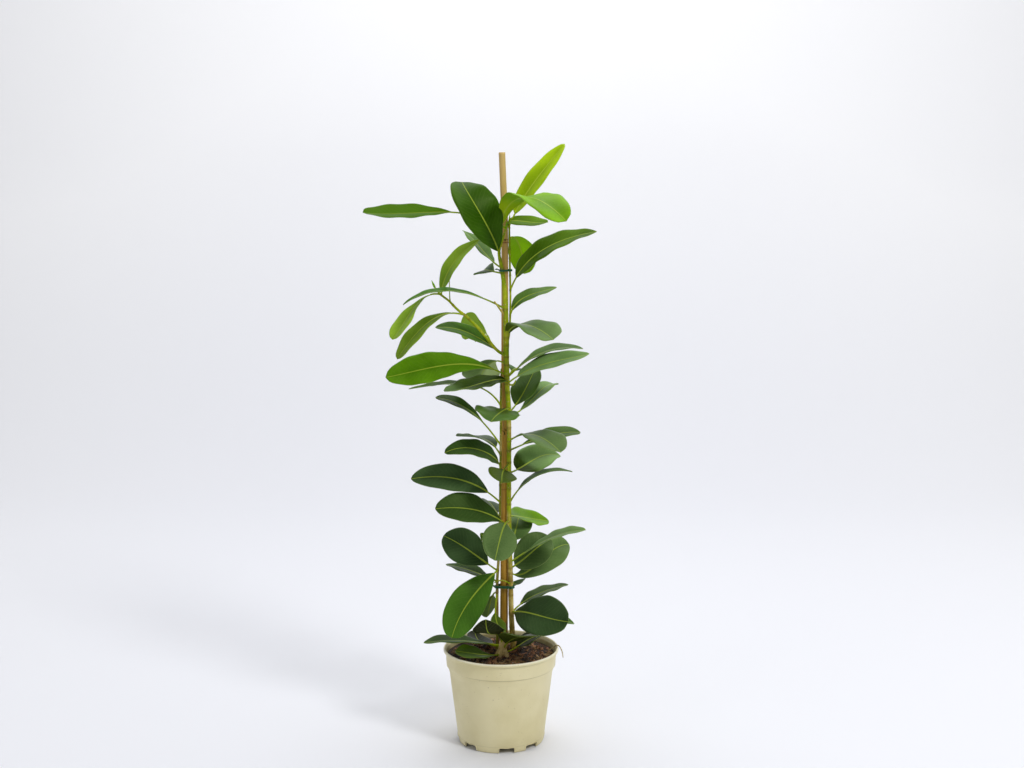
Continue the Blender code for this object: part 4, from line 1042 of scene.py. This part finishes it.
turn = np.arange(soilPlan["steps"]) * 2 * math.pi / soilPlan["steps"]
soilPoints, soilRows = [], []
for radius, height in soilOutline:
    if radius == 0:
        soilRows.append([0] * len(turn))
        soilPoints.append((0, 0, height))
        continue
    soilRows.append(list(range(len(soilPoints), len(soilPoints) + len(turn))))
    soilPoints += [(radius * math.cos(a), radius * math.sin(a), height) for a in turn]
for share in np.linspace(1, 0, soilPlan["rings"])[1:]:
    radius = 78.4 * share
    if share == 0:
        soilRows.append([len(soilPoints)] * len(turn))
        soilPoints.append((0, 0, float(soilSurface(0.0, 0.0))))
        continue
    soilRows.append(list(range(len(soilPoints), len(soilPoints) + len(turn))))
    soilPoints += [(radius * math.cos(a), radius * math.sin(a),
                    float(soilSurface(radius * math.cos(a), radius * math.sin(a)))) for a in turn]
soilFaces = []
for low, high in zip(soilRows, soilRows[1:]):
    for k in range(len(turn)):
        right = (k + 1) % len(turn)
        soilFaces.append(tuple(dict.fromkeys([low[k], low[right], high[right], high[k]])))
soil = plainObject("potting_soil", soilPoints, soilFaces)

soilLook = Finish("damp_potting_mix")
place = soilLook.objectPlace()
grain = soilLook.noise(place, 420, 5, 0.7)
clods = soilLook.noise(place, 95, 4, 0.6)
colour = soilLook.ramp(grain, [(0.3, soilPlan["dark"]), (0.52, (46, 31, 20)), (0.72, soilPlan["brown"])])
colour = soilLook.mix(soilLook.remap(clods, 0.45, 0.7, 0.0, 0.6), colour, (26, 17, 11))
soilLook.set("Base Color", colour)
soilLook.set("Roughness", soilLook.remap(clods, 0.3, 0.7, 0.75, 0.95))
soilLook.set("Normal", soilLook.bump(soilLook.math("ADD", grain, clods), 0.9, 0.0016))

barkChipLook = Finish("fir_bark")
place = barkChipLook.objectPlace()
pick = barkChipLook.stored("pick")["Fac"]
grain = barkChipLook.noise(place, 700, 4, 0.65)
colour = barkChipLook.ramp(pick, [
    (0.0, (58, 36, 18)), (0.3, (100, 64, 38)), (0.55, (140, 92, 58)), (0.75, (168, 120, 80)), (0.9, (108, 86, 40)), (1.0, (196, 158, 116))])
colour = barkChipLook.mix(barkChipLook.remap(grain, 0.4, 0.7, 0.0, 0.6), colour, (52, 34, 22))
barkChipLook.set("Base Color", colour)
barkChipLook.set("Roughness", barkChipLook.remap(grain, 0.3, 0.7, 0.65, 0.9))
barkChipLook.set("Normal", barkChipLook.bump(grain, 0.6, 0.0005))

paleLook = Finish("perlite")
grain = paleLook.noise(paleLook.objectPlace(), 900, 3)
paleLook.set("Base Color", paleLook.ramp(grain, [(0.3, (196, 190, 176)), (0.7, (236, 234, 226))]))
paleLook.set("Roughness", paleLook.remap(grain, 0.3, 0.7, 0.8, 0.95))

# The few shapes that the scatter repeats: bent bark strips, flat chips, lumpy crumbs and pale bits.
dice = np.random.default_rng(soilPlan["seed"])
scatterShapes = {}


def scatterGroup(name, objects, material):
    group = bpy.data.collections.new(name)
    bpy.context.scene.collection.children.link(group)
    for shape in objects:
        bpy.context.scene.collection.objects.unlink(shape)
        group.objects.link(shape)
        shape.data.materials.append(material)
    scatterShapes[name] = group


def barkStrip(name, length, wide, thick, bend):
    points, faces = [], []
    stations = 6
    for j in range(stations):
        share = j / (stations - 1)
        half = wide / 2 * (0.45 + 0.75 * math.sin(math.pi * (0.12 + 0.76 * share))) * dice.uniform(0.8, 1.15)
        angle = bend * (share - 0.5)
        x = length * math.sin(angle) / max(abs(bend), 0.1) if bend else length * (share - 0.5)
        z = length * (1 - math.cos(angle)) / max(abs(bend), 0.1)
        lean = dice.uniform(-0.15, 0.15) * wide
        for y, lift in ((-half, -thick / 2), (half, -thick / 2), (half * 0.8, thick / 2), (-half * 0.8, thick / 2)):
            points.append((x - lift * math.sin(angle), y + lean, z + lift * math.cos(angle)))
    for j in range(stations - 1):
        for k in range(4):
            a, b = j * 4 + k, j * 4 + (k + 1) % 4
            faces.append((a, a + 4, b + 4, b))
    faces.append((0, 1, 2, 3))
    last = (stations - 1) * 4
    faces.append((last + 3, last + 2, last + 1, last))
    return plainObject(name, points, faces)


def lump(name, radius, squash, rough):
    mesh = bpy.data.meshes.new(name)
    shape = bmesh.new()
    bmesh.ops.create_icosphere(shape, subdivisions=1, radius=radius * millimetre)
    for vertex in shape.verts:
        vertex.co *= dice.uniform(1 - rough, 1 + rough)
        vertex.co.z *= squash
    shape.to_mesh(mesh)
    shape.free()
    made = bpy.data.objects.new(name, mesh)
    bpy.context.scene.collection.objects.link(made)
    return made


scatterGroup("barkStrips", [barkStrip(f"strip_{i}", *size) for i, size in enumerate((
    (11, 1.9, 0.9, 1.3), (8, 1.5, 0.8, -0.9), (14, 2.4, 1.1, 0.8), (6.5, 1.8, 0.9, 1.8), (9.5, 1.2, 0.7, 2.2)))], barkChipLook.material)
scatterGroup("barkChips", [barkStrip(f"chip_{i}", *size) for i, size in enumerate((
    (4.2, 3.2, 1.2, 0.3), (5.4, 2.6, 1.0, 0.6), (3.2, 2.4, 1.1, 0.2)))], barkChipLook.material)
scatterGroup("crumbs", [lump(f"crumb_{i}", radius, 0.8, 0.25) for i, radius in enumerate((0.75, 0.55, 0.95, 0.42))], barkChipLook.material)
scatterGroup("paleBits", [lump(f"pale_{i}", radius, 0.85, 0.2) for i, radius in enumerate((1.3, 0.9))], paleLook.material)


# Adds one scatter to the tree: points on the upward faces, with a shape on each, turned and sized by chance.
def addScatter(tree, entry, groupName, label, lean):
    add, join = tree.nodes.new, tree.links.new
    normal, split, facesUp = add("GeometryNodeInputNormal"), add("ShaderNodeSeparateXYZ"), add("FunctionNodeCompare")
    join(normal.outputs[0], split.inputs[0])
    facesUp.operation = "GREATER_THAN"
    join(split.outputs["Z"], facesUp.inputs[0])
    facesUp.inputs[1].default_value = 0.55
    place, level, span = add("GeometryNodeInputPosition"), add("ShaderNodeVectorMath"), add("ShaderNodeVectorMath")
    inside, both = add("FunctionNodeCompare"), add("FunctionNodeBooleanMath")
    level.operation, span.operation, inside.operation = "MULTIPLY", "LENGTH", "LESS_THAN"
    level.inputs[1].default_value = (1, 1, 0)
    join(place.outputs[0], level.inputs[0])
    join(level.outputs[0], span.inputs[0])
    join(span.outputs["Value"], inside.inputs[0])
    join(entry.outputs[label + " reach"], inside.inputs[1])
    join(facesUp.outputs[0], both.inputs[0])
    join(inside.outputs[0], both.inputs[1])
    points = add("GeometryNodeDistributePointsOnFaces")
    join(entry.outputs["Geometry"], points.inputs["Mesh"])
    join(both.outputs[0], points.inputs["Selection"])
    join(entry.outputs[label + " density"], points.inputs["Density"])
    join(entry.outputs["Seed"], points.inputs["Seed"])
    shapes = add("GeometryNodeCollectionInfo")
    shapes.inputs["Collection"].default_value = scatterShapes[groupName]
    shapes.inputs["Separate Children"].default_value = True
    shapes.inputs["Reset Children"].default_value = True
    turnBy, sizeBy, pickBy = [add("FunctionNodeRandomValue") for _ in range(3)]
    turnBy.data_type = "FLOAT_VECTOR"
    turnBy.inputs[0].default_value = (-lean, -lean, 0)
    turnBy.inputs[1].default_value = (lean, lean, 6.283)
    sizeBy.inputs[2].default_value = 0.55
    sizeBy.inputs[3].default_value = 1.3
    for chance in (turnBy, sizeBy, pickBy):
        join(entry.outputs["Seed"], chance.inputs["Seed"])
    scaled = add("ShaderNodeMath")
    scaled.operation = "MULTIPLY"
    join(sizeBy.outputs[1], scaled.inputs[0])
    join(entry.outputs[label + " size"], scaled.inputs[1])
    placed = add("GeometryNodeInstanceOnPoints")
    placed.inputs["Pick Instance"].default_value = True
    join(points.outputs["Points"], placed.inputs["Points"])
    join(shapes.outputs[0], placed.inputs["Instance"])
    join(turnBy.outputs[0], placed.inputs["Rotation"])
    join(scaled.outputs[0], placed.inputs["Scale"])
    store = add("GeometryNodeStoreNamedAttribute")
    store.data_type, store.domain = "FLOAT", "INSTANCE"
    store.inputs["Name"].default_value = "pick"
    join(placed.outputs[0], store.inputs["Geometry"])
    join(pickBy.outputs[1], [socket for socket in store.inputs if socket.name == "Value" and socket.enabled][0])
    real, dress = add("GeometryNodeRealizeInstances"), add("GeometryNodeSetMaterial")
    dress.inputs["Material"].default_value = paleLook.material if groupName == "paleBits" else barkChipLook.material
    join(store.outputs[0], real.inputs[0])
    join(real.outputs[0], dress.inputs["Geometry"])
    return dress.outputs[0]


def newTree(name, inputs):
    tree = bpy.data.node_groups.new(name, "GeometryNodeTree")
    tree.interface.new_socket("Geometry", in_out="INPUT", socket_type="NodeSocketGeometry")
    for label, kind in inputs:
        tree.interface.new_socket(label, in_out="INPUT", socket_type=kind)
    tree.interface.new_socket("Geometry", in_out="OUTPUT", socket_type="NodeSocketGeometry")
    return tree, tree.nodes.new("NodeGroupInput"), tree.nodes.new("NodeGroupOutput")


# Puts a tree on a piece with its inputs set by identifier, then keeps the result as a plain mesh.
def growOn(piece, tree, values):
    modifier = piece.modifiers.new(tree.name, "NODES")
    modifier.node_group = tree
    for item in tree.interface.items_tree:
        if item.item_type == "SOCKET" and item.in_out == "INPUT" and item.name in values:
            modifier[item.identifier] = values[item.name]
    graph = bpy.context.evaluated_depsgraph_get()
    mesh = bpy.data.meshes.new_from_object(piece.evaluated_get(graph))
    piece.modifiers.clear()
    piece.data = mesh


scatters = [("strips", "barkStrips", 0.35), ("chips", "barkChips", 0.4), ("crumbs", "crumbs", 1.5), ("pale", "paleBits", 1.5)]
sockets = [("Seed", "NodeSocketInt")]
for label, _, _ in scatters:
    sockets += [(label + part, "NodeSocketFloat") for part in (" density", " size", " reach")]
mixTree, mixEntry, mixLeave = newTree("strewnSoil", sockets)
gather = mixTree.nodes.new("GeometryNodeJoinGeometry")
mixTree.links.new(mixEntry.outputs["Geometry"], gather.inputs[0])
for label, groupName, lean in scatters:
    mixTree.links.new(addScatter(mixTree, mixEntry, groupName, label, lean), gather.inputs[0])
mixTree.links.new(gather.outputs[0], mixLeave.inputs[0])
soil.data.materials.append(soilLook.material)
mixValues = {"Seed": soilPlan["seed"]}
for label, amount, size, reach in (
    ("strips", "strips", "stripSize", "stripReach"), ("chips", "chips", "chipSize", "chipReach"),
    ("crumbs", "crumbs", "crumbSize", "crumbReach"), ("pale", "paleBits", "paleSize", "paleReach"),
):
    mixValues[label + " density"] = float(soilPlan[amount])
    mixValues[label + " size"] = float(soilPlan[size])
    mixValues[label + " reach"] = soilPlan[reach] * millimetre
growOn(soil, mixTree, mixValues)
for group in scatterShapes.values():
    for shape in list(group.objects):
        bpy.data.objects.remove(shape)
    bpy.data.collections.remove(group)
soil.data.shade_smooth()
soil.data.set_sharp_from_angle(angle=math.radians(40))
finishPiece(soil, "soil")
print("soil strewn:", len(soil.data.polygons), "faces")

print("scene made")
